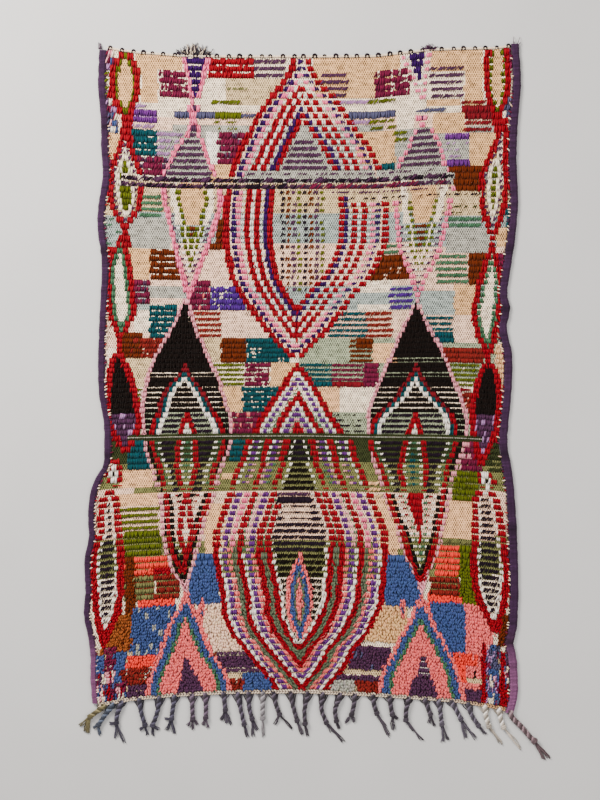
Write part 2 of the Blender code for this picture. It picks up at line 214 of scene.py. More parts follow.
# Patchwork of the ground, left of the middle
LEFT_PATCHES = (
    Patch(-55, -40, 106, 98, "sand"),
    Patch(-53.5, -48, 100, 89, "sand"),
    Patch(-31.5, -16.5, 104, 97, "red", "ribbed"),
    Patch(-16.5, -6, 104, 96.5, "plum", "rows"),
    Patch(-33.5, -26.5, 97, 88, "cream"),
    Patch(-26, -6, 96.5, 88, "oat"),
    Patch(-25.5, -16.5, 94.5, 92.5, "khaki", "ticks"),
    Patch(-47.5, -37.5, 98.7, 88.7, "raspberry", "streaked"),
    Patch(-55, -48.5, 89, 87, "lavender", "dashes"),
    Patch(-30, -21, 89, 86.7, "olive", "rows"),
    Patch(-21, -14, 88, 86.5, "lavender", "ticks"),
    Patch(-56, -48.5, 86.5, 82.5, "violet", "ribbed", "lavender"),
    Patch(-43, -29.5, 85.6, 83, "slate", "solid", "plum"),
    Patch(-29.5, -20.5, 86, 82.5, "olive", "solid"),
    Patch(-20.5, -14, 86, 82.5, "slate", "dashes"),
    Patch(-56, -48.5, 82, 79.5, "lavender", "dashes"),
    Patch(-30, -22, 82.5, 79, "olive", "ticks"),
    Patch(-57.5, -48, 79.6, 70, "teal", "ribbed"),
    Patch(-48, -40, 79.6, 69, "lavender", "dashes", "violet"),
    Patch(-32.5, -28.5, 79, 68.5, "white"),
    Patch(-28.5, -17, 79, 68.5, "raspberry", "streaked", "plum"),
    Patch(-54.5, -44.5, 70, 60, "raspberry", "streaked", "plum"),
    Patch(-31, -23.5, 68.5, 62.5, "sand"),
    Patch(-53.5, -46.5, 58, 50.8, "bottle", "rows"),
    Patch(-58, -43.5, 51, 41.6, "silver"),
    Patch(-29, -23.5, 50, 42.3, "brown", "flecked", "rust"),
    Patch(-32, -26, 41.7, 39.7, "brown", "solid"),
    Patch(-58, -50.5, 41.6, 31, "sand"),
    Patch(-50.5, -41, 40.5, 30.5, "brown", "ribbed"),
    Patch(-33.5, -25, 39.7, 31, "blush"),
    Patch(-57, -50.8, 31, 22, "raspberry", "streaked", "plum"),
    Patch(-50.8, -39.5, 30.5, 21, "blush"),
    Patch(-50.8, -39.5, 28, 25.3, "silver"),
    Patch(-38, -31, 31, 21, "raspberry", "streaked", "coral"),
    Patch(-31, -20, 29.3, 21, "iris", "streaked", "cream"),
    Patch(-56, -50.8, 21.5, 13, "cream"),
    Patch(-50.8, -42, 21.7, 12.5, "teal", "ribbed"),
    Patch(-36.5, -27.5, 21, 11.7, "rust", "rows"),
    Patch(-27.5, -10, 21, 11.5, "blush"),
    Patch(-60, -52.5, 13, 4.7, "brown", "flecked", "rust"),
    Patch(-53.5, -46, 12.5, 4.5, "rust", "flecked", "blush"),
    Patch(-33.5, -27.5, 11.5, 3.7, "oat"),
    Patch(-27.5, -19, 11.6, 3.8, "brown", "solid", "rust"),
    Patch(-19, -5, 11.8, 3.8, "teal", "flecked"),
    Patch(-59, -50, 4.7, -4.5, "oat"),
    Patch(-30, -19.8, 3.7, -4.6, "olive", "rows", "cream"),
    Patch(-19.8, -11.5, 3.8, -4.4, "raspberry", "streaked"),
    Patch(-11.5, -3, 3.8, -5, "sand"),
    Patch(-56, -53, -4, -9, "olive", "dashes"),
    Patch(-27.5, -20.5, -4.7, -11.7, "sand"),
    Patch(-20.5, -9, -4.5, -11.7, "teal", "ribbed"),
    Patch(-25, -12, -11.8, -20.2, "raspberry", "streaked", "coral"),
    Patch(-58, -50.5, -19.8, -30.6, "teal", "solid"),
    Patch(-25, -19.5, -21.5, -29, "teal", "ribbed", "forest"),
    Patch(-61, -49.5, -31, -36.3, "peach"),
    Patch(-27.5, -22.5, -31.3, -35, "sand"),
    Patch(-62, -48, -38, -42, "peach"),
    Patch(-62, -47.5, -42, -51, "olive", "rows"),
    Patch(-32.8, -26, -42, -59, "peach"),
    Patch(-59, -47.5, -51, -52.5, "olive", "solid"),
    Patch(-59, -47, -53.5, -58.3, "olive", "lined", "khaki"),
    Patch(-59, -44, -58.3, -66, "scarlet", "lined", "khaki"),
    Patch(-51, -44, -62.5, -66.2, "red", "flecked", "scarlet"),
    Patch(-59, -49, -66, -73.5, "khaki", "lined", "rust"),
    Patch(-49, -41, -65.5, -73.5, "rust", "lined", "khaki"),
    Patch(-58.7, -55.5, -60, -77, "brown", "solid"),
    Patch(-55, -42.5, -73.5, -75.3, "scarlet", "solid"),
    Patch(-38, -28, -59, -75, "denim", "solid"),
    Patch(-66.5, -56, -77.5, -91, "tan", "flecked", "brown"),
    Patch(-56.5, -42, -75.3, -91.3, "denim", "flecked", "silver"),
    Patch(-34, -19, -75, -89.3, "blush", "solid", "coral"),
    Patch(-32, -19, -89.3, -92.5, "rust", "dashes"),
    Patch(-68, -65.3, -91, -98.5, "denim", "solid"),
    Patch(-65.3, -61.5, -89, -99, "raspberry", "streaked", "white"),
    Patch(-62, -58.3, -91, -99, "denim", "solid", "slate"),
    Patch(-58.3, -48, -90.5, -95.8, "scarlet", "flecked", "coral"),
    Patch(-60, -50, -95.8, -101, "rust", "streaked", "white"),
    Patch(-63, -58, -101, -106, "raspberry", "mixed", "red"),
    Patch(-58, -51, -100.5, -105, "plum", "ribbed", "blush"),
    Patch(-28.5, -14, -90.5, -96.5, "plum", "barred", "cream"),
    Patch(-28, -16, -96.5, -98.3, "oat"),
    Patch(-27, -20, -98.3, -104, "rust", "flecked", "cream"),
    Patch(-20, -10, -97.8, -104, "denim", "solid"),
)

# Patchwork of the ground, right of the middle
RIGHT_PATCHES = (
    Patch(2.5, 30.5, 104, 88.5, "sand"),
    Patch(5.5, 13.8, 98, 88.5, "plum", "rows"),
    Patch(14.5, 22.5, 96, 89, "sand"),
    Patch(22.5, 34, 99.7, 89.4, "raspberry", "streaked"),
    Patch(40.5, 57.5, 106, 98, "sand"),
    Patch(40.5, 51.3, 100, 89.3, "plum", "dashes"),
    Patch(51.5, 57.5, 98, 88, "sand"),
    Patch(11, 20.5, 89, 87, "lavender", "dashes"),
    Patch(20.5, 29.3, 89, 86.8, "olive", "rows"),
    Patch(39, 50, 89, 86, "sand"),
    Patch(50.5, 59, 89.5, 88, "oxblood", "dashes"),
    Patch(13.5, 21, 86, 82.7, "slate", "solid", "violet"),
    Patch(21, 29.3, 86, 82.7, "slate", "solid", "olive"),
    Patch(29.3, 37.5, 86.2, 84.4, "slate", "thread"),
    Patch(37.5, 45.5, 86.6, 84.6, "slate", "rows"),
    Patch(51, 60.5, 86.5, 82.3, "oxblood", "solid", "red"),
    Patch(14.5, 21, 82.6, 81, "lavender", "rows"),
    Patch(21.5, 29.5, 82.8, 79, "olive", "dashes"),
    Patch(29.5, 35, 88, 80, "cream"),
    Patch(41, 51.7, 84, 79, "sand"),
    Patch(51.7, 61, 82.6, 79, "oxblood", "rows"),
    Patch(16.5, 29, 79, 68.5, "sand"),
    Patch(29, 33, 78.7, 75, "olive", "rows"),
    Patch(45, 53, 78.7, 76.2, "violet", "ribbed", "lavender"),
    Patch(45, 53, 76.2, 70, "lavender", "ticks"),
    Patch(45.5, 53.5, 70, 68.5, "violet", "solid", "lavender"),
    Patch(53, 62, 78.7, 68.5, "sand"),
    Patch(23.5, 29.3, 68.5, 60.5, "teal", "solid"),
    Patch(46, 58, 68.5, 59.7, "brown", "solid", "rust"),
    Patch(47, 57, 56, 51.5, "forest", "ticks"),
    Patch(46, 57, 51.5, 48.3, "bottle", "rows"),
    Patch(45.5, 60, 48, 38.7, "silver"),
    Patch(24.5, 30.5, 41.8, 38.7, "bottle", "rows"),
    Patch(42.5, 52.7, 38.7, 29.7, "bottle", "rows"),
    Patch(23.5, 32, 38.8, 35.3, "brown", "solid"),
    Patch(19, 33.8, 34.5, 29.9, "brown", "flecked", "blush"),
    Patch(52.7, 59, 39, 29.3, "brown", "solid"),
    Patch(17, 28, 29.5, 20.5, "cream"),
    Patch(14, 27.5, 26, 22, "mist"),
    Patch(27.5, 34.6, 29.5, 26.5, "iris", "dashes"),
    Patch(27.5, 35, 26.5, 20, "iris", "rows", "lavender"),
    Patch(37.5, 48.2, 27, 20, "mist"),
    Patch(48.2, 55, 29.5, 20, "sand"),
    Patch(7.5, 20, 20.3, 11.2, "teal", "rows", "black"),
    Patch(20, 28.3, 20.3, 11, "rust", "rows"),
    Patch(28.3, 33.5, 21, 11, "blush"),
    Patch(39, 47.8, 20, 14, "teal", "rows"),
    Patch(40.5, 47.8, 14, 10.7, "teal", "solid"),
    Patch(48, 55, 20, 11, "blush"),
    Patch(0, 14.5, 11, 3.6, "sage"),
    Patch(14.5, 21.6, 11.3, 3.8, "brown", "rows"),
    Patch(16.5, 21.6, 11.3, 8.5, "brown", "solid"),
    Patch(21.6, 29.5, 9.7, 3.8, "peach"),
    Patch(44, 58, 11, 3.4, "rust", "solid", "raspberry"),
    Patch(44, 57, 9.6, 8.5, "sage"),
    Patch(-2, 8.6, 3.5, -1.8, "teal", "rows", "bottle"),
    Patch(0, 8.6, -1.8, -4.4, "teal", "solid"),
    Patch(8.6, 23.5, 3.4, -3, "raspberry", "rows"),
    Patch(8.6, 23, -3, -4.4, "oxblood", "solid"),
    Patch(18.7, 23.6, 3.4, -4, "raspberry", "solid"),
    Patch(47, 56.5, 3.6, -5, "olive", "rows"),
    Patch(49, 54, -5, -6.6, "oxblood", "rows"),
    Patch(49.5, 54.5, -6.6, -12.8, "rust", "flecked", "blush"),
    Patch(3.5, 11, -4.6, -12.8, "peach"),
    Patch(11, 21.5, -4.6, -12.6, "cream"),
    Patch(9, 19, -12.8, -20.2, "ink", "ticks"),
    Patch(50, 57, -22.5, -31.3, "raspberry", "streaked", "shell"),
    Patch(47.5, 56, -31.5, -41.5, "olive", "ribbed", "khaki"),
    Patch(17.5, 25, -34, -37.5, "peach", "rows"),
    Patch(20.5, 26.5, -38.5, -41, "peach", "dashes"),
    Patch(22, 30, -41, -60, "peach"),
    Patch(44.5, 54.5, -42, -53.2, "peach"),
    Patch(44, 54.5, -53.2, -56, "khaki", "dashes", "peach"),
    Patch(42, 51, -56, -66, "scarlet", "lined", "khaki"),
    Patch(50, 54.8, -55.5, -75, "olive", "solid", "khaki"),
    Patch(40.5, 50, -66, -72.5, "rust", "lined", "khaki"),
    Patch(39.5, 51, -72.5, -75, "scarlet", "solid"),
    Patch(25.5, 37.5, -58.5, -74.8, "denim", "solid"),
    Patch(19, 33, -74.8, -86.8, "sand", "solid", "gold"),
    Patch(40, 52.5, -75, -91.5, "denim", "solid"),
    Patch(51.7, 60.5, -75, -91.3, "coral", "solid"),
    Patch(14, 27.5, -88, -96.3, "plum", "flecked", "slate"),
    Patch(9.5, 25, -96.3, -98, "oat"),
    Patch(9.5, 24, -98, -99.7, "plum", "ribbed"),
    Patch(6, 16.3, -99.5, -104, "silver", "solid", "oat"),
    Patch(16.3, 24, -99.7, -104, "rust", "solid"),
    Patch(48, 57, -89.7, -95, "scarlet", "flecked", "coral"),
    Patch(47, 52, -95, -99.5, "scarlet", "solid", "coral"),
    Patch(52, 57, -94.5, -98.5, "coral", "flecked", "black"),
    Patch(50, 57, -99.5, -103, "coral", "flecked"),
    Patch(51, 57, -101.5, -106, "plum", "solid", "slate"),
)

# Narrow strips between the side edges and the lozenges next to them
BORDER_PATCHES = (
    Patch(-69, -62, 107, 98.5, "raspberry", "mixed", "lavender"),
    Patch(-69, -62.5, 98.5, 89.5, "olive", "dashes"),
    Patch(-69, -61, 89.5, 84, "lavender", "mixed", "cream"),
    Patch(-69, -61, 84, 79, "slate", "mixed", "white"),
    Patch(-64, -60, 79, 69.5, "sand"),
    Patch(-69, -64, 79, 69.5, "cream"),
    Patch(-65, -62, 69.5, 59.5, "raspberry", "streaked", "oxblood"),
    Patch(-65, -60, 52, 41.5, "bottle", "ticks"),
    Patch(-65, -60, 41.5, 31, "red", "flecked", "cream"),
    Patch(-65, -60.5, 18, 8, "blush"),
    Patch(-60, -56.3, 83.8, 80, "red", "solid"),
    Patch(61, 65.3, 83.8, 79, "red", "solid"),
    Patch(65.4, 68, 106, 97, "raspberry", "streaked"),
    Patch(64.5, 68, 90, 83, "slate", "flecked", "white"),
    Patch(61.5, 66, 46.5, 42, "sand"),
    Patch(65.2, 67, 55, 48, "teal", "solid"),
    Patch(61.3, 66, 39, 28, "raspberry", "streaked", "cream"),
    Patch(61.5, 65, 10, -6, "peach", "flecked", "cream"),
    Patch(60, 65, -22, -33, "forest", "dashes", "khaki"),
    Patch(-58.5, -56, -66, -76, "brown", "solid"),
    Patch(-68, -62, -97, -108, "red", "mixed", "plum"),
    Patch(-62, -58, -99, -102, "raspberry", "streaked", "white"),
    Patch(62.5, 66.5, -79, -87.5, "brown", "flecked", "rust"),
    Patch(57, 58.6, -87.5, -108, "red", "blocks"),
    Patch(62.8, 64.6, -90, -108, "red", "blocks"),
    Patch(58.6, 62.8, -87.5, -108, "slate", "mixed", "lavender"),
    Patch(64.6, 68, -88, -100, "slate", "mixed", "plum"),
    Patch(64.6, 68, -100, -109, "red", "flecked", "plum"),
)

# Dark threads and bands that run over the whole pattern
STRAY_BANDS = (
    Patch(-20, 46, 66, 64, "plum", "ticks"),
    Patch(-60, -2, 64, 62, "ink", "ragged", "plum"),
    Patch(-2, 48.5, 64, 62, "ink", "ragged", "plum"),
    Patch(-60, -2, 62, 60, "plum", "ragged", "ink"),
    Patch(-2, 48, 62, 60, "plum", "ragged", "raspberry"),
    Patch(8, 47, 60, 58, "plum", "ticks"),
    Patch(14, 57, 58, 56, "ink", "ticks"),
    Patch(-58, 57, -19.5, -21, "silver", "hair"),
    Patch(-9, 1.5, -38, -40, "plum", "rows"),
    Patch(-9, 1.5, -40, -42, "ink", "solid"),
    Patch(-7.5, 2, -42, -47.5, "ink", "thread"),
)

# Outlines, as the left and right edge at each height
MIDDLE_UPPER = (
    Edge(106, -5, 1), Edge(98.8, -5.5, 2.5), Edge(94, -8.8, 5.7), Edge(89.5, -12.4, 10.5),
    Edge(85.8, -15.3, 12.7), Edge(78, -19.4, 18), Edge(74.5, -21.3, 21), Edge(66, -24.9, 25),
    Edge(54, -27, 27), Edge(43, -27, 26.7), Edge(37, -26, 24.5), Edge(31, -24.7, 21),
    Edge(27.5, -23, 17.5), Edge(23, -20, 14), Edge(18, -16.5, 10.5), Edge(14, -13.3, 7.5),
    Edge(9, -9, 2), Edge(5, -4.5, -1.5),
)
MIDDLE_LOWER = (
    Edge(3.3, -3, -2.3), Edge(0, -6, 0.5), Edge(-4.5, -8.5, 3.6), Edge(-9, -11.7, 6.2),
    Edge(-14.5, -15.3, 9.3), Edge(-18.8, -17.5, 12.3), Edge(-22, -19.8, 15.6),
    Edge(-27.5, -21.5, 17), Edge(-33.5, -23.7, 19.5), Edge(-40, -26, 22),
    Edge(-46, -28.3, 24.7), Edge(-52, -30.2, 26.6), Edge(-60, -30.2, 26.6),
    Edge(-67, -28.6, 26), Edge(-73, -27.6, 25.5), Edge(-78, -27.2, 23.7),
    Edge(-84, -24.8, 20.8), Edge(-89, -21, 16.2), Edge(-94.5, -16.5, 13.5),
    Edge(-99.5, -12, 9.4), Edge(-106, -8, 4.5),
)
MIDDLE_HEART = (
    Edge(-57.3, -2.3, -1.6), Edge(-61, -3.5, -0.7), Edge(-65, -5.2, 0.6), Edge(-69, -6, 1.8),
    Edge(-75, -6.5, 2.4), Edge(-80, -5.6, 1.4), Edge(-84, -4, 0.2), Edge(-86, -2.3, -1.4),
)
LEFT_TOP = (
    Edge(106, -42.5, -30), Edge(101, -40, -31.2), Edge(97, -39, -32.5),
    Edge(92.5, -38.3, -33.5), Edge(88.5, -37.7, -34.7),
)
LEFT_CROSS = (Edge(87.5, -38.7, -34), Edge(83, -37.5, -35.7), Edge(79.6, -38.7, -34.2))
LEFT_SPINDLE = (
    Edge(79.5, -37.7, -34.5), Edge(77, -39.7, -33.8), Edge(73, -43, -32),
    Edge(69.6, -44.5, -31), Edge(65.6, -46.5, -29.3), Edge(60, -47, -27.5),
    Edge(56, -46.7, -26.7), Edge(49.5, -45.2, -28.6), Edge(41.3, -43.2, -31.2),
    Edge(33, -41, -34.5), Edge(24.8, -38.9, -37.5),
)
LEFT_LONG = (
    Edge(24.7, -39.5, -37.7), Edge(19.2, -42.2, -36.7), Edge(15.9, -43.5, -35.4),
    Edge(12.5, -45.6, -34.3), Edge(7.2, -48.7, -31.5), Edge(2.9, -50.7, -29.8),
    Edge(-2, -52.3, -27.6), Edge(-8.5, -53.6, -25.7), Edge(-14, -53.8, -23.8),
    Edge(-20.5, -53.3, -23.4), Edge(-25.5, -52.3, -25), Edge(-32, -50, -27.5),
    Edge(-38, -48, -29), Edge(-45, -47.2, -31.5), Edge(-52, -46.8, -33.3),
    Edge(-58.5, -45.5, -35.3), Edge(-64.5, -43.3, -37.3), Edge(-70, -39.7, -38.7),
)
LEFT_NESTED = (
    Edge(3.9, -39.3, -38.7), Edge(0.3, -41, -37.7), Edge(-4.5, -45.5, -33.8),
    Edge(-9, -47.8, -31.2), Edge(-12.5, -48.4, -29.5), Edge(-15, -50, -27.3),
    Edge(-20, -51, -25.8), Edge(-24.7, -50.4, -26.3), Edge(-31.2, -47.8, -29.3),
    Edge(-37.7, -46.5, -29.9), Edge(-45, -45.8, -32.3), Edge(-50.7, -45.5, -34.8),
    Edge(-55.6, -45, -36.7), Edge(-59.5, -43.6, -38.3), Edge(-64, -41, -38.9),
)
LEFT_KERNEL = (
    Edge(-11.7, -38.7, -38), Edge(-15, -40.5, -36.7), Edge(-18, -41.5, -35.5),
    Edge(-23, -42.3, -34.7), Edge(-29, -42.8, -34.7), Edge(-33, -42.2, -35.4),
    Edge(-40, -40, -37.5), Edge(-43, -41, -37), Edge(-52, -42, -36), Edge(-60, -39.5, -38),
)
LEFT_TENT = (
    Edge(-70.2, -39.3, -38.7), Edge(-73.5, -40.3, -37.4), Edge(-77.4, -42.6, -35.4),
    Edge(-81.6, -44.9, -33.5), Edge(-86.5, -46.5, -31.5), Edge(-91.3, -48.1, -29.6),
    Edge(-95.6, -50, -26.3), Edge(-99.5, -51.4, -24.7), Edge(-106, -52.3, -23.4),
)
LEFT_TENT_CORE = (
    Edge(-91.3, -39, -38.4), Edge(-95.6, -40.3, -37), Edge(-99.5, -40.6, -34.1),
    Edge(-106, -42, -32.5),
)
LEFT_SPIRE = (Edge(-73, -34, -33.4), Edge(-77, -35.3, -32.2), Edge(-80.5, -33.9, -33.3))
RIGHT_TOP = (
    Edge(107, 30.8, 42), Edge(103, 31.2, 40.5), Edge(99.5, 32.5, 40), Edge(97.2, 34, 39.5),
    Edge(94.9, 34.8, 39.3), Edge(91.6, 36, 39.3), Edge(89, 36.7, 39),
)
RIGHT_CROSS = (Edge(84, 35.5, 39.8), Edge(81.5, 37, 38.4), Edge(79.3, 35.8, 40.5))
RIGHT_SPINDLE = (
    Edge(79.3, 35, 41.6), Edge(76.7, 33.5, 43), Edge(73.5, 32.5, 44.5), Edge(69.6, 30, 45.2),
    Edge(65.6, 29, 46.5), Edge(60, 27.8, 48.7), Edge(55, 28.3, 47.5), Edge(48, 29, 46),
    Edge(41, 29.6, 44.2), Edge(38, 31, 43), Edge(32, 33.5, 39.7), Edge(24, 35.8, 36.7),
)
RIGHT_LONG = (
    Edge(24, 35.4, 36.7), Edge(19.8, 33.2, 38.4), Edge(15.9, 31.5, 40), Edge(12, 29.6, 42.6),
    Edge(7.2, 27.6, 45.2), Edge(0.6, 24.7, 47.8), Edge(-3.6, 23, 49.4), Edge(-7.5, 21.1, 50.7),
    Edge(-11.7, 19.8, 52.3), Edge(-17, 19.5, 53), Edge(-23, 20.5, 52.3), Edge(-28, 21.5, 50.3),
    Edge(-34, 23.5, 48), Edge(-41, 25.5, 46.8), Edge(-47.5, 28.3, 45.7), Edge(-53, 29.9, 44.4),
    Edge(-57.5, 31.2, 43.5), Edge(-62, 33.5, 41.2), Edge(-67, 35.7, 39.2),
    Edge(-71.8, 37, 37.7),
)
RIGHT_NESTED = (
    Edge(3.3, 35.4, 36.4), Edge(-0.3, 33.5, 37.7), Edge(-4.5, 30.6, 40.3),
    Edge(-7.8, 28.6, 42.9), Edge(-11, 25.4, 46.2), Edge(-13.3, 22.8, 48.1),
    Edge(-16.6, 20.8, 49.4), Edge(-23, 20.2, 49.4), Edge(-29.6, 23, 46.8),
    Edge(-33, 24.7, 46.2), Edge(-41, 26.3, 45.2), Edge(-46, 28, 44.5), Edge(-50.7, 30.2, 43.6),
    Edge(-60, 33.2, 41.3), Edge(-63.7, 34.5, 39.7), Edge(-67, 35.8, 38.4),
)
RIGHT_KERNEL = (
    Edge(-12, 35.1, 35.8), Edge(-15, 34, 36.7), Edge(-19.8, 32.2, 38.4), Edge(-26, 30.5, 39.3),
    Edge(-30, 29.6, 39.6), Edge(-36, 30.6, 39.6), Edge(-42.6, 32.2, 39.3),
    Edge(-46, 33.5, 39.3), Edge(-52, 35, 39), Edge(-58.8, 36.7, 38), Edge(-61, 37.4, 37.7),
)
RIGHT_TENT = (
    Edge(-71.8, 37.1, 37.7), Edge(-75, 35.5, 39.4), Edge(-81.6, 32.3, 42.3),
    Edge(-86.5, 29.5, 45), Edge(-91.3, 27.3, 47.4), Edge(-95.6, 25, 49.4),
    Edge(-99.5, 23.6, 50.6), Edge(-106, 23.2, 52.3),
)
RIGHT_TENT_CORE = (
    Edge(-90.7, 38, 38.7), Edge(-94.6, 37, 39.7), Edge(-97, 36, 40.3), Edge(-99.5, 34.8, 41),
    Edge(-106, 32.3, 43.5),
)
RIGHT_SPIRE = (Edge(-72.5, 31, 31.6), Edge(-76, 30.2, 32.6), Edge(-79.5, 31, 31.6))
LEFT_BORDER_TOP = (
    Edge(106, -60, -56.7), Edge(103, -61.5, -56), Edge(100.5, -63, -54.7),
    Edge(97.2, -64, -53.6), Edge(90.7, -64, -53.6), Edge(88, -62.4, -55),
    Edge(83.5, -60, -56.5),
)
LEFT_BORDER_SECOND = (
    Edge(81, -60, -56.5), Edge(76, -60.4, -56.4), Edge(69, -63, -54.5), Edge(65.6, -64.3, -53),
    Edge(56.6, -64.3, -52.6), Edge(53.5, -63.5, -53.6), Edge(47.4, -59.6, -57.5),
)
LEFT_BORDER_THIRD = (
    Edge(46, -60, -58.5), Edge(42, -62, -57.8), Edge(38.7, -63.7, -57.2),
    Edge(33.8, -65, -56.2), Edge(24, -65, -55.2), Edge(19, -64.3, -55), Edge(15.9, -63, -57),
    Edge(10.5, -61, -60.2),
)
LEFT_BORDER_FOURTH = (
    Edge(8, -61.5, -60), Edge(5, -63.7, -58.5), Edge(-2, -65, -55.6), Edge(-8.5, -65.3, -54),
    Edge(-15, -65.3, -53), Edge(-19, -63.7, -53.8), Edge(-22, -62, -55.5), Edge(-25, -60, -57),
)
LEFT_BORDER_SMALL = (
    Edge(-27.5, -63.5, -61), Edge(-30, -64.5, -60), Edge(-33, -65.3, -59.5),
    Edge(-36.5, -63, -60),
)
LEFT_BORDER_LOWER = (
    Edge(-37, -64.5, -62.5), Edge(-41, -67, -60.5), Edge(-47.5, -67.8, -59.7),
    Edge(-51, -67.3, -59.5), Edge(-55.6, -69.2, -59), Edge(-60, -70, -59),
    Edge(-70, -69.8, -58.8), Edge(-76.7, -69.3, -60), Edge(-84, -67.5, -63),
    Edge(-89, -66.5, -65),
)
RIGHT_BORDER_TOP = (
    Edge(106.5, 59, 65.5), Edge(102, 57.8, 66.5), Edge(92, 57.6, 66.7), Edge(88, 59, 65.5),
    Edge(83.8, 61, 63.7),
)
RIGHT_BORDER_SECOND = (
    Edge(79, 62, 65.7), Edge(75, 61, 65.7), Edge(70, 58.4, 65.8), Edge(64.7, 56.2, 66),
    Edge(58, 55.9, 65.8), Edge(52, 57, 64.8), Edge(45, 59.4, 61.6),
)
RIGHT_BORDER_THIRD = (
    Edge(42.5, 59.7, 61), Edge(38.7, 58.5, 62.5), Edge(31, 55.8, 64), Edge(24, 54.3, 64),
    Edge(19, 53.6, 63.4), Edge(14, 54.6, 62.7), Edge(6.5, 58, 60.5),
)
RIGHT_BORDER_FOURTH = (
    Edge(3.9, 57.5, 60.5), Edge(1.3, 56.2, 62.4), Edge(-2, 55, 63.4), Edge(-8.5, 53.3, 64),
    Edge(-15, 53, 63.4), Edge(-20, 53.6, 62.4), Edge(-26.3, 55, 59.5), Edge(-30, 56, 58),
)
RIGHT_BORDER_SMALL = (Edge(-31, 56, 58.5), Edge(-34, 55.5, 62), Edge(-37, 57, 61))
RIGHT_BORDER_LOWER = (
    Edge(-38, 55.5, 61), Edge(-41, 53.7, 63), Edge(-47, 53.9, 64.2), Edge(-55, 53.7, 65.3),
    Edge(-62, 53.2, 66), Edge(-68, 53.8, 66.2), Edge(-73.5, 55.2, 65.5),
    Edge(-80.5, 58.7, 63.8), Edge(-84, 60, 63),
)

LEFT_LINKS = (Edge(50, -60.9, -59.2), Edge(46, -59.6, -57.6), Edge(40, -57.6, -55.9))
LEFT_LINKS_LOW = (Edge(11, -61.4, -59.6), Edge(7, -61.6, -59.6))
RIGHT_LINKS = (Edge(48, 59.3, 61.5), Edge(41, 59.7, 61.4))
RIGHT_LINKS_LOW = (Edge(7.5, 58.2, 60.2), Edge(3, 58, 60.2))

# Bands of knots inward from an outline. The last one fills the rest.
LINK = (Layer("red", 99, "blocks"),)
UPPER_NEST = (
    Layer("red", 2.1, "blocks"), Layer("blush", 0.7, "bare"), Layer("purple", 1.5, "beads"),
    Layer("pink", 1.5, "beads"), Layer("white", 1.3, "marks"), Layer("red", 1.8, "blocks"),
    Layer("white", 1.2, "beads"), Layer("red", 1.8, "blocks"), Layer("white", 1.2, "marks"),
    Layer("purple", 1.3, "blocks"), Layer("red", 1.8, "blocks"), Layer(None, 99, "bare"),
)
LOWER_NEST_HEAD = (
    Layer("red", 2.1, "blocks"), Layer("white", 1.1, "beads"), Layer("violet", 1.6, "beads"),
    Layer("white", 1.1, "marks"), Layer("bottle", 0.7, "marks"), Layer("red", 2, "blocks"),
    Layer("white", 1.1, "beads"), Layer("violet", 1.7, "beads"), Layer("shell", 1.2, "marks"),
    Layer("red", 2.1, "blocks"), Layer("black", 0.9, "marks"), Layer("white", 1, "beads"),
    Layer("ink", 99, "rows"),
)
LOWER_NEST_KHAKI = (
    Layer("red", 1.8, "blocks"), Layer("white", 1.1, "beads"), Layer(None, 0.9, "bare"),
    Layer("violet", 1.2, "marks"), Layer("shell", 1.2, "marks"), Layer(None, 1.2, "bare"),
    Layer("red", 1.7, "blocks"), Layer("shell", 1.2, "beads"), Layer("violet", 1.3, "beads"),
    Layer("bottle", 1, "marks"), Layer(None, 1, "bare"), Layer("red", 1.8, "blocks"),
    Layer(None, 1.3, "bare"), Layer("white", 1.1, "beads"), Layer("black", 99, "rows"),
)
LOWER_NEST_NECK = (
    Layer("red", 2.2, "blocks"), Layer("white", 1.1, "marks"), Layer("violet", 1.7, "blocks"),
    Layer(None, 0.7, "bare"), Layer("pink", 1.5, "blocks"), Layer(None, 0.7, "bare"),
    Layer("red", 2, "blocks"), Layer("bottle", 0.7, "beads"), Layer("shell", 1.3, "beads"),
    Layer("violet", 1.6, "blocks"), Layer(None, 0.7, "bare"), Layer("red", 2.1, "blocks"),
    Layer("bottle", 0.7, "beads"), Layer("red", 2, "blocks"), Layer("white", 0.7, "marks"),
    Layer("ink", 99, "rows"),
)
LOWER_NEST = (
    Layer("red", 1.9, "blocks"), Layer("white", 1.2, "beads"), Layer("violet", 1.6, "beads"),
    Layer("coral", 1.5, "beads"), Layer("moss", 1.6, "blocks"), Layer("red", 1.8, "blocks"),
    Layer("white", 1.3, "beads"), Layer("violet", 1.6, "beads"), Layer("coral", 1.5, "beads"),
    Layer("red", 1.9, "blocks"), Layer("moss", 1.6, "blocks"), Layer("red", 1.8, "blocks"),
    Layer("white", 1.2, "beads"), Layer("black", 99, "rows"),
)
HEART_NEST = (
    Layer("coral", 1.1, "solid"), Layer("denim", 1.4, "solid"), Layer("moss", 0.8, "solid"),
    Layer("coral", 99, "solid"),
)
TOP_NEST = (Layer("pink", 1.4, "blocks"), Layer("purple", 99, "ribbed"))
TOP_NEST_RIGHT = (
    Layer("pink", 1.4, "beads"), Layer("white", 0.8, "marks"), Layer("purple", 99, "ribbed"),
)
CROSS_NEST = (Layer("pink", 1.4, "blocks"), Layer("plum", 99, "blocks"))
SPINDLE_HEAD = (Layer("pink", 1.4, "blocks"), Layer("plum", 99, "rows"))
SPINDLE_BODY = (
    Layer("pink", 1.6, "blocks"), Layer("plum", 1.2, "ticks"), Layer("cream", 2.1, "bare"),
    Layer("olive", 1.3, "beads"), Layer("sand", 99, "bare"),
)
SPINDLE_FOOT = (
    Layer("pink", 1.6, "blocks"), Layer("plum", 1.2, "marks"), Layer("white", 0.9, "marks"),
    Layer("olive", 1.2, "beads"), Layer("cream", 0.7, "bare"), Layer("olive", 1.2, "beads"),
    Layer("brown", 99, "beads"),
)
BLACK_TENT = (Layer("shell", 1.3, "blocks"), Layer("black", 99, "solid", "cream"))
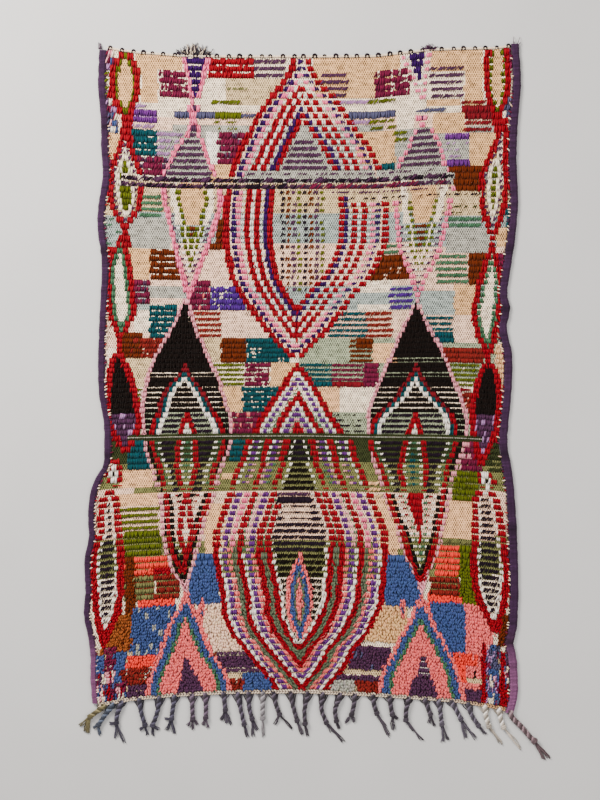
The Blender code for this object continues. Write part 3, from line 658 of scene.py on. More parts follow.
DARK_BARS = (Layer("shell", 1.3, "blocks"), Layer("black", 99, "barred"))
DARK_LINES = (Layer("shell", 1.3, "blocks"), Layer("black", 99, "lined"))
NESTED_UPPER = (
    Layer("oxblood", 1.3, "blocks"), Layer("teal", 1.1, "blocks"),
    Layer("white", 1.4, "blocks"), Layer("black", 99, "lined"),
)
NESTED_BARRED = (
    Layer("red", 1.6, "blocks"), Layer("teal", 0.9, "blocks"), Layer("white", 1.5, "blocks"),
    Layer("ink", 99, "rows"),
)
NESTED_MIDDLE = (
    Layer("red", 1.6, "blocks"), Layer("bottle", 0.9, "marks"), Layer("white", 1.3, "marks"),
    Layer("ink", 99, "rows"),
)
NESTED_LOWER = (
    Layer("red", 1.7, "blocks"), Layer("black", 1.2, "blocks"), Layer("white", 1.2, "marks"),
    Layer("oxblood", 1.2, "marks"), Layer("black", 99, "rows"),
)
KERNEL = (
    Layer("red", 1.8, "blocks"), Layer("white", 1.2, "beads"), Layer("teal", 99, "blocks"),
)
KERNEL_BODY = (
    Layer("red", 1.8, "blocks"), Layer("white", 1, "marks"), Layer("bottle", 1, "marks"),
    Layer("teal", 99, "beads"),
)
KERNEL_FOOT = (
    Layer("bottle", 0.8, "beads"), Layer("white", 0.7, "marks"), Layer("red", 99, "solid"),
)
TENT = (
    Layer("coral", 1.5, "solid"), Layer("denim", 2, "solid"), Layer("bottle", 1.2, "solid"),
    Layer("coral", 99, "solid"),
)
TENT_CORE = (Layer("plum", 99, "solid", "black"),)
TENT_BARS = (Layer("plum", 99, "lined", "white"),)
SPIRE = (Layer("coral", 0.9, "blocks"), Layer("slate", 99, "solid"))
BORDER_TOP_NEST = (
    Layer("red", 1.9, "solid"), Layer("olive", 1, "blocks"), Layer("sand", 99, "bare"),
)
BORDER_SECOND_NEST = (
    Layer("red", 1.9, "solid"), Layer("plum", 1, "rows"), Layer("cream", 1.2, "solid"),
    Layer("olive", 99, "blocks"),
)
BORDER_THIRD_NEST = (
    Layer("red", 1.8, "solid"), Layer("bottle", 1.2, "blocks"), Layer("cream", 99, "bare"),
)
BORDER_FOURTH_NEST = (Layer("red", 2.1, "solid"), Layer("black", 99, "solid"))
BORDER_FOURTH_END = (Layer("red", 2.1, "solid"), Layer("plum", 99, "flecked", "lavender"))
BORDER_SMALL_NEST = (
    Layer("red", 1.4, "blocks"), Layer("white", 1, "solid"), Layer("black", 99, "blocks"),
)
BORDER_LOWER_NEST = (
    Layer("red", 2.3, "blocks"), Layer("white", 1, "beads"), Layer("ink", 99, "rows"),
)

# Which layers fill which outline, and between which heights
FIGURES = (
    Figure(LEFT_BORDER_TOP, BORDER_TOP_NEST),
    Figure(LEFT_BORDER_SECOND, BORDER_SECOND_NEST),
    Figure(LEFT_BORDER_THIRD, BORDER_THIRD_NEST),
    Figure(LEFT_BORDER_FOURTH, BORDER_FOURTH_NEST),
    Figure(LEFT_BORDER_FOURTH, BORDER_FOURTH_END, -12.5),
    Figure(LEFT_BORDER_SMALL, BORDER_SMALL_NEST),
    Figure(LEFT_BORDER_LOWER, BORDER_LOWER_NEST),
    Figure(RIGHT_BORDER_TOP, BORDER_TOP_NEST),
    Figure(RIGHT_BORDER_SECOND, BORDER_SECOND_NEST),
    Figure(RIGHT_BORDER_THIRD, BORDER_THIRD_NEST),
    Figure(RIGHT_BORDER_FOURTH, BORDER_FOURTH_NEST),
    Figure(RIGHT_BORDER_FOURTH, BORDER_FOURTH_END, -12.5),
    Figure(RIGHT_BORDER_SMALL, BORDER_SMALL_NEST),
    Figure(RIGHT_BORDER_LOWER, BORDER_LOWER_NEST),
    Figure(LEFT_LINKS, LINK),
    Figure(LEFT_LINKS_LOW, LINK),
    Figure(RIGHT_LINKS, LINK),
    Figure(RIGHT_LINKS_LOW, LINK),
    Figure(LEFT_TOP, TOP_NEST),
    Figure(RIGHT_TOP, TOP_NEST_RIGHT),
    Figure(LEFT_CROSS, CROSS_NEST),
    Figure(RIGHT_CROSS, CROSS_NEST),
    Figure(LEFT_SPINDLE, SPINDLE_HEAD, 80, 62),
    Figure(RIGHT_SPINDLE, SPINDLE_HEAD, 80, 62),
    Figure(LEFT_SPINDLE, SPINDLE_BODY, 62, 47.5),
    Figure(RIGHT_SPINDLE, SPINDLE_BODY, 62, 49.5),
    Figure(LEFT_SPINDLE, SPINDLE_FOOT, 47.5),
    Figure(RIGHT_SPINDLE, SPINDLE_FOOT, 49.5),
    Figure(LEFT_LONG, BLACK_TENT, 25, 2.8),
    Figure(RIGHT_LONG, BLACK_TENT, 25, 9),
    Figure(LEFT_LONG, DARK_BARS, 2.8, -4),
    Figure(RIGHT_LONG, DARK_BARS, 9, -4),
    Figure(LEFT_LONG, DARK_LINES, -4),
    Figure(RIGHT_LONG, DARK_LINES, -4),
    Figure(LEFT_NESTED, NESTED_UPPER, 5, -12.5),
    Figure(RIGHT_NESTED, NESTED_UPPER, 5, -13),
    Figure(LEFT_NESTED, NESTED_BARRED, -12.5, -20.3),
    Figure(RIGHT_NESTED, NESTED_BARRED, -13, -20.3),
    Figure(LEFT_NESTED, NESTED_MIDDLE, -20.3, -38),
    Figure(RIGHT_NESTED, NESTED_MIDDLE, -20.3, -38),
    Figure(LEFT_NESTED, NESTED_LOWER, -38),
    Figure(RIGHT_NESTED, NESTED_LOWER, -38),
    Figure(LEFT_KERNEL, KERNEL, 5, -20.3),
    Figure(RIGHT_KERNEL, KERNEL, 5, -20.3),
    Figure(LEFT_KERNEL, KERNEL_BODY, -20.3),
    Figure(RIGHT_KERNEL, KERNEL_BODY, -20.3, -38),
    Figure(RIGHT_KERNEL, KERNEL_FOOT, -38),
    Figure(LEFT_TENT, TENT),
    Figure(RIGHT_TENT, TENT),
    Figure(LEFT_TENT_CORE, TENT_CORE),
    Figure(RIGHT_TENT_CORE, TENT_BARS, 0, -99.5),
    Figure(RIGHT_TENT_CORE, TENT_CORE, -99.5),
    Figure(LEFT_SPIRE, SPIRE),
    Figure(RIGHT_SPIRE, SPIRE),
    Figure(MIDDLE_UPPER, UPPER_NEST),
    Figure(MIDDLE_LOWER, LOWER_NEST_HEAD, 5, -29),
    Figure(MIDDLE_LOWER, LOWER_NEST_KHAKI, -29, -38),
    Figure(MIDDLE_LOWER, LOWER_NEST_NECK, -38, -57),
    Figure(MIDDLE_LOWER, LOWER_NEST, -57),
    Figure(MIDDLE_HEART, HEART_NEST),
)

# Small marks in the heart of the upper lozenge
TICK_COLUMNS = (-7.4, -5.6, -3.8, -2, -0.1, 1.8, 3.6, 5.4)
TICK_REACH = 0.6

# Each tassel in millimetres: where its root leaves the band, a bend, its knot, the tail ends
FRINGE = (
    Tassel(-658, (-680, -1097), (-702, -1113), ((-737, -1143), (-721, -1167), (-708, -1168))),
    Tassel(-629, (-653, -1108), (-675, -1140), ((-693, -1150), (-669, -1175))),
    Tassel(-600, (-614, -1108), (-616, -1134), ((-641, -1136), (-621, -1186), (-589, -1203))),
    Tassel(-541, (-533, -1108), (-523, -1140), ((-541, -1158), (-516, -1176))),
    Tassel(-476, (-486, -1108), (-499, -1142), ((-496, -1178), (-476, -1156))),
    Tassel(-427, (-434, -1095), (-437, -1121), ((-461, -1118), (-454, -1162), (-428, -1170))),
    Tassel(-370, (-369, -1092), (-368, -1119), ((-385, -1145), (-369, -1157), (-351, -1140))),
    Tassel(-326, (-325, -1090), (-326, -1117), ((-335, -1143), (-317, -1151))),
    Tassel(-267, (-264, -1072), (-262, -1092), ((-276, -1128), (-258, -1140), (-241, -1143))),
    Tassel(-222, (-210, -1098), (-201, -1138), ((-190, -1183),)),
    Tassel(-186, (-184, -1086), (-175, -1120), ((-158, -1160), (-172, -1180))),
    Tassel(-140, (-141, -1086), (-141, -1118), ((-137, -1181),)),
    Tassel(-105, (-96, -1078), (-86, -1106), ((-103, -1141), (-42, -1154))),
    Tassel(-50, (-39, -1090), (-29, -1126), ((-10, -1172),)),
    Tassel(6, (-5, -1090), (-3, -1136), ((8, -1178),)),
    Tassel(54, (50, -1089), (66, -1132), ((88, -1166), (126, -1201))),
    Tassel(110, (94, -1092), (99, -1127), ((108, -1155),)),
    Tassel(158, (154, -1082), (148, -1106), ((158, -1134), (125, -1136))),
    Tassel(218, (222, -1078), (230, -1102), ((263, -1150), (274, -1183))),
    Tassel(272, (276, -1084), (280, -1106), ((300, -1122), (284, -1160))),
    Tassel(333, (325, -1092), (324, -1124), ((352, -1164), (380, -1194))),
    Tassel(388, (396, -1084), (404, -1106), ((400, -1136), (419, -1146))),
    Tassel(431, (436, -1096), (441, -1138), ((445, -1197), (463, -1192))),
    Tassel(474, (488, -1092), (503, -1121), ((520, -1186), (555, -1186))),
    Tassel(527, (538, -1108), (560, -1142), ((586, -1172),)),
    Tassel(581, (584, -1108), (594, -1145), ((639, -1205),)),
    Tassel(627, (630, -1112), (642, -1148), ((702, -1224),)),
)
CORNER_TAIL = Tassel(664, (690, -1136), (742, -1192), ((776, -1258), (794, -1250)))

# Colours of the tassels, each up to the tassel of this number
FRINGE_DYES = (
    FringeDye(0, "4a4733"),
    FringeDye(1, "333b48"),
    FringeDye(5, "2f2f3c"),
    FringeDye(7, "3a3340"),
    FringeDye(10, "33303c"),
    FringeDye(11, "64646a"),
    FringeDye(21, "302d36"),
    FringeDye(24, "3b3944"),
    FringeDye(26, "96928a"),
)

# Frayed warp ends that stand out of the looped end, in millimetres
UPPER_TUFTS = (
    Tuft(-404, -16, 24), Tuft(-393, -9, 36), Tuft(-382, -2, 44), Tuft(-371, 6, 41),
    Tuft(-360, 4, 47), Tuft(-349, 12, 38), Tuft(-338, 15, 42), Tuft(-327, 22, 28),
    Tuft(392, -8, 20), Tuft(402, 6, 24), Tuft(412, 14, 14),
)

# Parts of the heart of the upper lozenge, by how far they lie inside its last line
HEART_HEAD = Heart(1.2, 77, 62.5)
HEART_MARKS = Heart(0.4, 60, 26)

# Places along the side edges, in centimetres, where the wraps are bunched together
LEFT_BUNCHES = (80.5, 40, -26.5)
RIGHT_BUNCHES = (40.5, 21, -26, -50.5, -87)

# Heights along the rug in metres: its ends, and where its pile turns shaggy and its sides mauve
FIELD_LOW = -1.0436
FIELD_HIGH = 1.0428
SHAGGY_FROM = -0.54
MAUVE_FROM = -0.82
FADE_LENGTH = 0.16

# Limits by which the points of the solids are told apart, in metres
FLAT_TOLERANCE = 1e-6
SAME_HEIGHT = 2e-5
EDGE_OVERRUN = 0.06
LEAST_EDGE_WIDTH = 0.015

PILE_PARTS = 4
RINGS_PER_WRAP = 4
BAND_WIDTH = 15.4 * MM
ROOT_DROP = 15 * MM
PICTURE_MIDDLE = (-0.0195, -0.0845)
SENSOR_WIDTH = 36
BAKE_MAP = "OFBake"
WEAVE_MAP = "weave"
COLOUR_LAYER = "yarn"


def linear(code):
    """A hex colour as linear red, green and blue."""
    levels = [int(code[at:at + 2], 16) / 255 for at in (0, 2, 4)]
    return tuple(v / 12.92 if v <= 0.04045 else ((v + 0.055) / 1.055) ** 2.4 for v in levels)


def length_property(name, description, default):
    return FloatProperty(name=name, description=description, default=default, unit="LENGTH")


def colour_property(name, description, default):
    return FloatVectorProperty(
        name=name,
        description=description,
        subtype="COLOR",
        size=3,
        min=0,
        max=1,
        default=default,
    )


class RugYarns(bpy.types.PropertyGroup):
    """Colours of the yarns and rags."""

    __annotations__ = {
        name: colour_property(name.capitalize(), f"Colour of the {name} yarn", linear(code))
        for name, code in YARNS.items()
    }


class RugPile(bpy.types.PropertyGroup):
    """Ground weave and knots of the field."""

    knots_across: IntProperty(
        name="Knots across",
        description="Knots in each row",
        default=214,
        min=40,
        max=220,
    )
    weave_height: length_property(
        "Weave height", "Top of the ground weave above the floor", 5.6 * MM
    )
    knot_height: length_property(
        "Knot height", "Top of a knot above the floor at the looped end", 10.4 * MM
    )
    shaggy_height: length_property(
        "Shaggy height", "Top of a knot above the floor in the shaggier fringed end", 13.2 * MM
    )
    warp_pitch: length_property(
        "Warp pitch", "Distance between two pairs of warps in the bare weave", 7.6 * MM
    )
    pick_pitch: length_property(
        "Pick pitch", "Distance between two picks of weft that pass over the same warps", 14.2 * MM
    )
    tuft_thickness: length_property("Tuft thickness", "Thickness of one tuft of rag", 3.4 * MM)
    unevenness: FloatProperty(
        name="Unevenness",
        description="How much the tufts differ in length, lean and shade",
        default=0.5,
        min=0,
        max=1,
        subtype="FACTOR",
    )


class RugEdges(bpy.types.PropertyGroup):
    """Overcast side edges, end band and looped cord."""

    wrap_pitch: length_property(
        "Wrap pitch", "Distance between two wraps of the side edges", 5.2 * MM
    )
    edge_height: length_property("Edge height", "Height of the side edges", 11 * MM)
    upper_colour: colour_property(
        "Upper colour", "Colour of the side edges at the looped end", linear("36203f")
    )
    lower_colour: colour_property(
        "Lower colour", "Colour of the side edges at the fringed end", linear("734870")
    )
    loop_pitch: length_property(
        "Loop pitch", "Distance between two warp loops along the looped cord", 34 * MM
    )
    band_pitch: length_property(
        "Chevron pitch", "Distance between two chevrons of the end band", 9.2 * MM
    )


class RugFringe(bpy.types.PropertyGroup):
    """Knotted warp fringe."""

    cord_radius: length_property(
        "Cord radius", "Radius of one of the three cords twisted into a tassel", 4.5 * MM
    )
    yarn_radius: length_property("Yarn radius", "Radius of one loose yarn of a tail", 2 * MM)
    twist_pitch: length_property(
        "Twist pitch", "Length of one full turn of a tassel's cords", 22 * MM
    )


class RugStage(bpy.types.PropertyGroup):
    """Floor, light and camera."""

    floor_colour: colour_property(
        "Floor colour", "Colour of the plain floor", (0.6, 0.65, 0.68)
    )
    camera_height: length_property("Camera height", "Height of the camera above the floor", 6.5)
    picture_height: length_property(
        "Picture height", "Length of floor that the picture takes in, from top to bottom", 2.6
    )


def smooth_through(knots, values, at):
    """Read a cubic that runs through the knots and leans at each one toward its neighbours."""
    knots = np.asarray(knots, float)
    values = np.asarray(values, float)
    slopes = np.gradient(values, knots)
    at = np.clip(at, knots[0], knots[-1])
    cell = np.clip(np.searchsorted(knots, at, side="right") - 1, 0, len(knots) - 2)
    width = knots[cell + 1] - knots[cell]
    t = (at - knots[cell]) / width
    start = (2 * t**3 - 3 * t**2 + 1) * values[cell] + (t**3 - 2 * t**2 + t) * width * slopes[cell]
    end = (3 * t**2 - 2 * t**3) * values[cell + 1] + (t**3 - t**2) * width * slopes[cell + 1]
    return start + end


def row_lines():
    """Ridge of each row of knots and the grooves between rows, as shares of the way up."""
    spots = [point.y for point in reversed(ROW_SPACING)]
    pitches = [point.pitch for point in reversed(ROW_SPACING)]
    rows = [spots[-1]]
    while rows[-1] > spots[0]:
        rows.append(rows[-1] - float(smooth_through(spots, pitches, rows[-1])))
    lines = np.array(rows[::-1])
    shares = (lines - lines[0]) / (lines[-1] - lines[0])
    halves = (shares[:-1] + shares[1:]) / 2
    return np.sort(np.concatenate([shares, halves]))


def node_points(name):
    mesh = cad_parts[name].data
    points = np.zeros(len(mesh.vertices) * 3, np.float32)
    mesh.vertices.foreach_get("co", points)
    return points.reshape(-1, 3).astype(float)


def field_border():
    """The four edges of the field, from its node's flat underside."""
    points = node_points("pile_field")
    loop = np.unique(points[points[:, 2] < FLAT_TOLERANCE][:, :2].round(5), axis=0)
    loop = loop[np.argsort(np.arctan2(loop[:, 1], loop[:, 0]))]
    spots = [int(np.argmax(loop @ lean)) for lean in ((-1, -1), (1, -1), (1, 1), (-1, 1))]
    loop = np.roll(loop, -spots[0], axis=0)
    low_right, high_right, high_left = [(spot - spots[0]) % len(loop) for spot in spots[1:]]
    lower = loop[:low_right + 1]
    right = loop[low_right:high_right + 1]
    upper = loop[high_right:high_left + 1][::-1]
    left = np.vstack([loop[high_left:], loop[:1]])[::-1]
    return {"left": left, "right": right, "lower": lower, "upper": upper}


BORDER = field_border()


def field_place(across, along):
    """Plan position of a point of the field, from how far across and along it lies."""
    across, along = np.broadcast_arrays(across, along)
    plain = FIELD_LOW + (FIELD_HIGH - FIELD_LOW) * along
    y = plain.copy()
    x = None
    for _step in range(5):
        left = np.interp(y, BORDER["left"][:, 1], BORDER["left"][:, 0])
        right = np.interp(y, BORDER["right"][:, 1], BORDER["right"][:, 0])
        x = left + (right - left) * across
        lower_bow = np.interp(x, BORDER["lower"][:, 0], BORDER["lower"][:, 1]) - FIELD_LOW
        upper_bow = np.interp(x, BORDER["upper"][:, 0], BORDER["upper"][:, 1]) - FIELD_HIGH
        y = plain + lower_bow * (1 - along) ** 2 + upper_bow * along**2
    return x, y


def side_stations(side):
    """Height, outer and inner line of a side edge, from its node."""
    points = node_points(f"selvedge_{side}")
    heights, counts = np.unique(points[:, 1].round(5), return_counts=True)
    ys, outer, inner = [], [], []
    for y, count in zip(heights, counts):
        if count >= 5 and y > FIELD_LOW - EDGE_OVERRUN:
            xs = points[np.abs(points[:, 1] - y) < SAME_HEIGHT][:, 0]
            low, high = xs.min(), xs.max()
            if high - low > LEAST_EDGE_WIDTH:
                ys.append(y)
                outer.append(low if side == "left" else high)
                inner.append(high if side == "left" else low)
    return np.array(ys), np.array(outer), np.array(inner)


class Chart:
    """The knots of the field: the yarn each is tied in, how far it covers, and the weft by it."""

    def __init__(self, knots_across):
        lines = row_lines()
        self.ridges = lines[1::2]
        self.columns = (np.arange(knots_across) + 0.5) / knots_across
        x, y = field_place(self.columns[None, :], self.ridges[:, None])
        self.x = x / CM
        self.y = y / CM
        self.shape = x.shape
        self.yarn = np.zeros(self.shape, int)
        self.cover = np.zeros(self.shape)
        self.lean = np.zeros(self.shape)
        self.weft = np.zeros(self.shape, int)
        self.relief = np.ones(self.shape)
        self.slope = np.zeros(self.shape)
        self.zone = np.ones(self.shape)
        self.chance = np.random.default_rng(SEED)
        rows, columns = self.shape
        self.row = np.arange(rows)[:, None] + np.zeros(self.shape, int)
        runs = self.chance.random((rows, columns // 3 + 1)).repeat(3, axis=1)[:, :columns]
        self.luck = 0.5 * runs + 0.5 * self.chance.random(self.shape)

    def lay_weft(self, weft):
        inside = (self.y <= weft.top) & (self.y > weft.bottom)
        inside &= (self.x >= weft.left) & (self.x < weft.right)
        self.weft[inside] = YARN_NUMBER[weft.yarn]
        self.zone[inside] = weft.knots

    def tie(self, inside, yarn, weave, second):
        """Tie one kind of knot in every place that is inside."""
        style = WEAVES[weave]
        self.cover[inside] = style.cover
        self.lean[inside] = style.lean
        self.relief[inside] = style.relief
        self.slope[inside] = 0
        if weave == "bare":
            if yarn:
                self.weft[inside] = YARN_NUMBER[yarn]
            return
        self.yarn[inside] = YARN_NUMBER[yarn]
        if weave == "ribbed":
            self.cover[inside & (self.luck > RIBBED_SHORT_ABOVE)] = RIBBED_SHORT
        if weave == "streaked":
            self.cover[inside] = STREAKED_LEAST + STREAKED_MORE * self.luck[inside]
        if weave == "barred":
            self.cover[inside & (self.row % 3 == 0)] = BARRED_THIRD_ROW
        if weave in ("ribbed", "lined", "barred") and second:
            self.weft[inside] = YARN_NUMBER[second]
        if weave in ("ticks", "dashes", "ragged"):
            if weave == "ragged":
                self.yarn[inside & (self.luck > RAGGED_SECOND_ABOVE)] = YARN_NUMBER[second]
                self.cover[inside] = RAGGED_LEAST + RAGGED_MORE * self.luck[inside]
            self.cover[inside & (self.luck < style.fleck)] = 0
            return
        if weave == "mixed":
            for number, name in enumerate(MIXED_RAGS):
                odd = inside & (self.luck > MIXED_ABOVE + MIXED_STEP * number)
                self.yarn[odd] = YARN_NUMBER[name]
        if second:
            flecks = inside & (self.luck < style.fleck * FLECK_REACH)
            if second in PALE_RAGS and weave != "mixed":
                self.cover[flecks] = PALE_FLECK
                self.weft[flecks] = YARN_NUMBER[second]
            else:
                self.yarn[flecks] = YARN_NUMBER[second]

    def rows_between(self, top, bottom, middle):
        """Whole rows, chosen by their height at one place across the rug."""
        nearest = np.abs(self.x - middle).argmin(axis=1)
        level = self.y[np.arange(len(nearest)), nearest][:, None]
        return (level <= top) & (level > bottom)

    def lay_patch(self, patch):
        rows = self.rows_between(patch.top, patch.bottom, (patch.left + patch.right) / 2)
        x = self.x + 0.25 * np.sin(self.y * 1.9 + patch.left)
        inside = rows & (x >= patch.left) & (x < patch.right)
        self.tie(inside, patch.yarn, patch.weave, patch.second)

    def lay_band(self, band):
        inside = self.rows_between(band.top, band.bottom, 0)
        inside = inside & (self.x >= band.left) & (self.x < band.right)
        self.tie(inside, band.yarn, band.weave, band.second)

    def depth_in(self, outline):
        """How far inside an outline each knot lies, measured across the rug."""
        ys = [edge.y for edge in reversed(outline)]
        left = np.interp(self.y, ys, [edge.left for edge in reversed(outline)])
        right = np.interp(self.y, ys, [edge.right for edge in reversed(outline)])
        depth = np.minimum(self.x - left, right - self.x)
        depth[(self.y > ys[-1]) | (self.y < ys[0])] = -1
        return depth

    def slope_along(self, outline):
        """How far the nearer edge of an outline runs across for each length up the rug."""
        ys = [edge.y for edge in reversed(outline)]
        lefts = [edge.left for edge in reversed(outline)]
        rights = [edge.right for edge in reversed(outline)]
        middle = (np.interp(self.y, ys, lefts) + np.interp(self.y, ys, rights)) / 2
        left = np.interp(self.y + 1, ys, lefts) - np.interp(self.y - 1, ys, lefts)
        right = np.interp(self.y + 1, ys, rights) - np.interp(self.y - 1, ys, rights)
        return np.clip(np.where(self.x < middle, left, right) / 2, -1.3, 1.3)

    def lay_figure(self, figure):
        depth = self.depth_in(figure.outline)
        slope = self.slope_along(figure.outline) * (0.4 + 0.6 * shaggy_share(self.y * CM))
        within = (self.y <= figure.top) & (self.y > figure.bottom)
        start = 0
        for layer in figure.layers:
            inside = within & (depth >= start) & (depth < start + layer.width)
            self.tie(inside, layer.yarn, layer.weave, layer.second)
            if layer.weave in ("blocks", "beads", "marks"):
                share = RED_YIELD if layer.yarn == "red" else OTHER_YIELD
                self.cover[inside] *= self.zone[inside] ** share
                self.slope[inside] = slope[inside]
                loose = inside & (self.x > LOOSE_RIGHT_OF) & (self.y > LOOSE_ABOVE)
                self.cover[loose] *= LOOSE_COVER
            start += layer.width

    def lay_heart_of_upper_lozenge(self):
        """Plum rows in the head of the core, and columns of small marks under them."""
        core = self.depth_in(MIDDLE_UPPER) - sum(layer.width for layer in UPPER_NEST[:-1])
        head, below = [
            (core > part.inset) & (self.y < part.top) & (self.y > part.bottom)
            for part in (HEART_HEAD, HEART_MARKS)
        ]
        self.tie(head, "plum", "rows", "cream")
        for number, column in enumerate(TICK_COLUMNS):
            marks = below & (np.abs(self.x - column) < TICK_REACH)
            self.tie(marks, MARK_YARNS[number % len(MARK_YARNS)], "marks", None)
            self.cover[marks] = np.where(self.luck[marks] < MISSING_MARKS_BELOW, 0, MARK_COVER)


def woven_chart(knots_across):
    """Wefts first, then the patchwork, the figures over it, and the stray bands on top."""
    chart = Chart(knots_across)
    for weft in WEFTS:
        chart.lay_weft(weft)
    for patch in (*LEFT_PATCHES, *RIGHT_PATCHES, *BORDER_PATCHES):
        chart.lay_patch(patch)
    for figure in FIGURES:
        chart.lay_figure(figure)
    chart.lay_heart_of_upper_lozenge()
    for band in STRAY_BANDS:
        chart.lay_band(band)
    return chart


def yarn_table():
    yarns = bpy.context.scene.rug_yarns
    return np.array([list(getattr(yarns, name)) for name in YARN_NAMES])


def yarn_dye(name):
    return yarn_table()[YARN_NUMBER[name]]


def mesh_piece(name, points, faces, colours, maps):
    """A mesh of four-sided faces, with a colour for each point and maps for each face corner."""
    mesh = bpy.data.meshes.new(name)
    mesh.vertices.add(len(points))
    mesh.vertices.foreach_set("co", np.ascontiguousarray(points, np.float32).ravel())
    mesh.loops.add(faces.size)
    mesh.loops.foreach_set("vertex_index", np.ascontiguousarray(faces, np.int32).ravel())
    mesh.polygons.add(len(faces))
    mesh.polygons.foreach_set("loop_start", np.arange(0, faces.size, 4, dtype=np.int32))
    mesh.update(calc_edges=True)
    domain = "CORNER" if len(colours) == faces.size else "POINT"
    layer = mesh.color_attributes.new(COLOUR_LAYER, "FLOAT_COLOR", domain)
    filled = np.ones((len(colours), 4), np.float32)
    filled[:, :3] = np.clip(colours, 0, 1)
    layer.data.foreach_set("color", filled.ravel())
    for map_name, places in maps.items():
        uv = mesh.uv_layers.new(name=map_name)
        uv.data.foreach_set("uv", np.ascontiguousarray(places, np.float32).ravel())
    mesh.shade_smooth()
    item = bpy.data.objects.new(name, mesh)
    bpy.context.scene.collection.objects.link(item)
    return item


def rectangle(across, up):
    """Corners of a rectangle on a map, from its two ends each way."""
    return [(across[0], up[0]), (across[1], up[0]), (across[1], up[1]), (across[0], up[1])]


def plan_map(points, faces):
    """A map that looks straight down, scaled to the piece's own size."""
    low = points[:, :2].min(axis=0)
    size = points[:, :2].max(axis=0) - low
    return (points[faces.ravel()][:, :2] - low) / max(size)


def tuft_map(total):
    """A map with a cell for each tuft, which holds a rectangle for each of its faces."""
    cells = math.ceil(math.sqrt(total))
    shares = []
    for stop in range(2):
        for corner in range(4):
            spread = corner / 4, (corner + 1) / 4
            shares.append(rectangle(spread, (stop * 0.42, (stop + 1) * 0.42)))
    shares += [rectangle((start, start + 0.2), (0.88, 1)) for start in (0, 0.5)]
    shares = np.array(shares).reshape(-1, 2) * 0.9 + 0.05
    origin = np.stack([np.arange(total) % cells, np.arange(total) // cells], axis=-1)
    return ((origin[:, None, :] + shares[None]) / cells).reshape(-1, 2)


def plain_piece(name, points, faces, colours):
    """A piece with no map but the one that looks straight down."""
    points = points.reshape(-1, 3)
    maps = {BAKE_MAP: plan_map(points, faces)}
    return mesh_piece(name, points, faces, colours.reshape(-1, 3), maps)


def cap(sides):
    """The end of a tube with an even number of sides, as a strip of four-sided faces."""
    strip = [(at, at + 1, sides - 2 - at, sides - 1 - at) for at in range(sides // 2 - 1)]
    return np.array(strip)


def tube_faces(stops, sides):
    """The skin of a tube, ring by ring, and its two ends."""
    index = np.arange(stops * sides).reshape(stops, sides)
    following = np.roll(index, -1, axis=1)
    skin = np.stack([index[:-1], following[:-1], following[1:], index[1:]], axis=-1)
    end = cap(sides)
    return np.vstack([skin.reshape(-1, 4), end[:, ::-1], end + (stops - 1) * sides])


class Tubes:
    """Gathers many small tubes into one mesh."""

    def __init__(self):
        self.points = []
        self.faces = []
        self.colours = []
        self.count = 0

    def add(self, path, radii, colours, sides=6):
        """One tube along a path, with its own radius and colour at each point of it."""
        path = np.asarray(path, float)
        stops = len(path)
        radii = np.broadcast_to(radii, stops)
        colours = np.broadcast_to(colours, (stops, 3))
        heading = np.gradient(path, axis=0)
        heading /= np.maximum(np.linalg.norm(heading, axis=1, keepdims=True), 1e-9)
        up = np.array([0.0, 0.0, 1.0])
        side = np.cross(heading, up)
        weak = np.linalg.norm(side, axis=1) < 0.05
        side[weak] = (1, 0, 0)
        side /= np.linalg.norm(side, axis=1, keepdims=True)
        normal = np.cross(side, heading)
        turns = np.arange(sides) / sides * math.tau
        ring = (
            np.cos(turns)[None, :, None] * side[:, None, :]
            + np.sin(turns)[None, :, None] * normal[:, None, :]
        )
        points = path[:, None, :] + ring * radii[:, None, None]
        self.points.append(points.reshape(-1, 3))
        self.faces.append(tube_faces(stops, sides) + self.count)
        self.colours.append(np.repeat(colours, sides, axis=0))
        self.count += stops * sides

    def piece(self, name):
        """All the tubes as one piece."""
        points, faces, colours = map(np.vstack, (self.points, self.faces, self.colours))
        return plain_piece(name, points, faces, colours)


def add_node(tree, kind, **settings):
    node = tree.nodes.new(kind)
    for key, value in settings.items():
        setattr(node, key, value)
    return node


def math_node(tree, operation, first, second):
    node = add_node(tree, "ShaderNodeMath", operation=operation)
    for socket, value in zip(node.inputs, (first, second)):
        if isinstance(value, (int, float)):
            socket.default_value = value
        else:
            tree.links.new(value, socket)
    return node.outputs[0]


def start_material(name, roughness, sheen):
    """A cloth-like shader, with the settings that are the same all over it."""
    material = bpy.data.materials.new(name)
    material.use_nodes = True
    tree = material.node_tree
    shader = tree.nodes["Principled BSDF"]
    shader.inputs["Roughness"].default_value = roughness
    shader.inputs["Specular IOR Level"].default_value = 0.08
    shader.inputs["Sheen Weight"].default_value = sheen
    shader.inputs["Sheen Roughness"].default_value = 0.5
    return material, tree, shader


def noise(tree, place, scale, detail=2.0):
    node = add_node(tree, "ShaderNodeTexNoise", noise_dimensions="3D")
    node.inputs["Scale"].default_value = scale
    node.inputs["Detail"].default_value = detail
    tree.links.new(place, node.inputs["Vector"])
    return node.outputs["Fac"]


def stretched_place(tree, stretch):
    """Object coordinates, stretched so that fibres lie along one direction."""
    place = add_node(tree, "ShaderNodeTexCoord").outputs["Object"]
    mapping = add_node(tree, "ShaderNodeMapping", vector_type="POINT")
    mapping.inputs["Scale"].default_value = stretch
    tree.links.new(place, mapping.inputs["Vector"])
    return mapping.outputs["Vector"]


def shade_between(tree, factor, low, high):
    """A grey between two levels, from a factor that runs from 0 to 1."""
    node = add_node(tree, "ShaderNodeMapRange", clamp=True)
    node.inputs["From Min"].default_value = 0.3
    node.inputs["From Max"].default_value = 0.7
    node.inputs["To Min"].default_value = low
    node.inputs["To Max"].default_value = high
    tree.links.new(factor, node.inputs["Value"])
    return node.outputs["Result"]


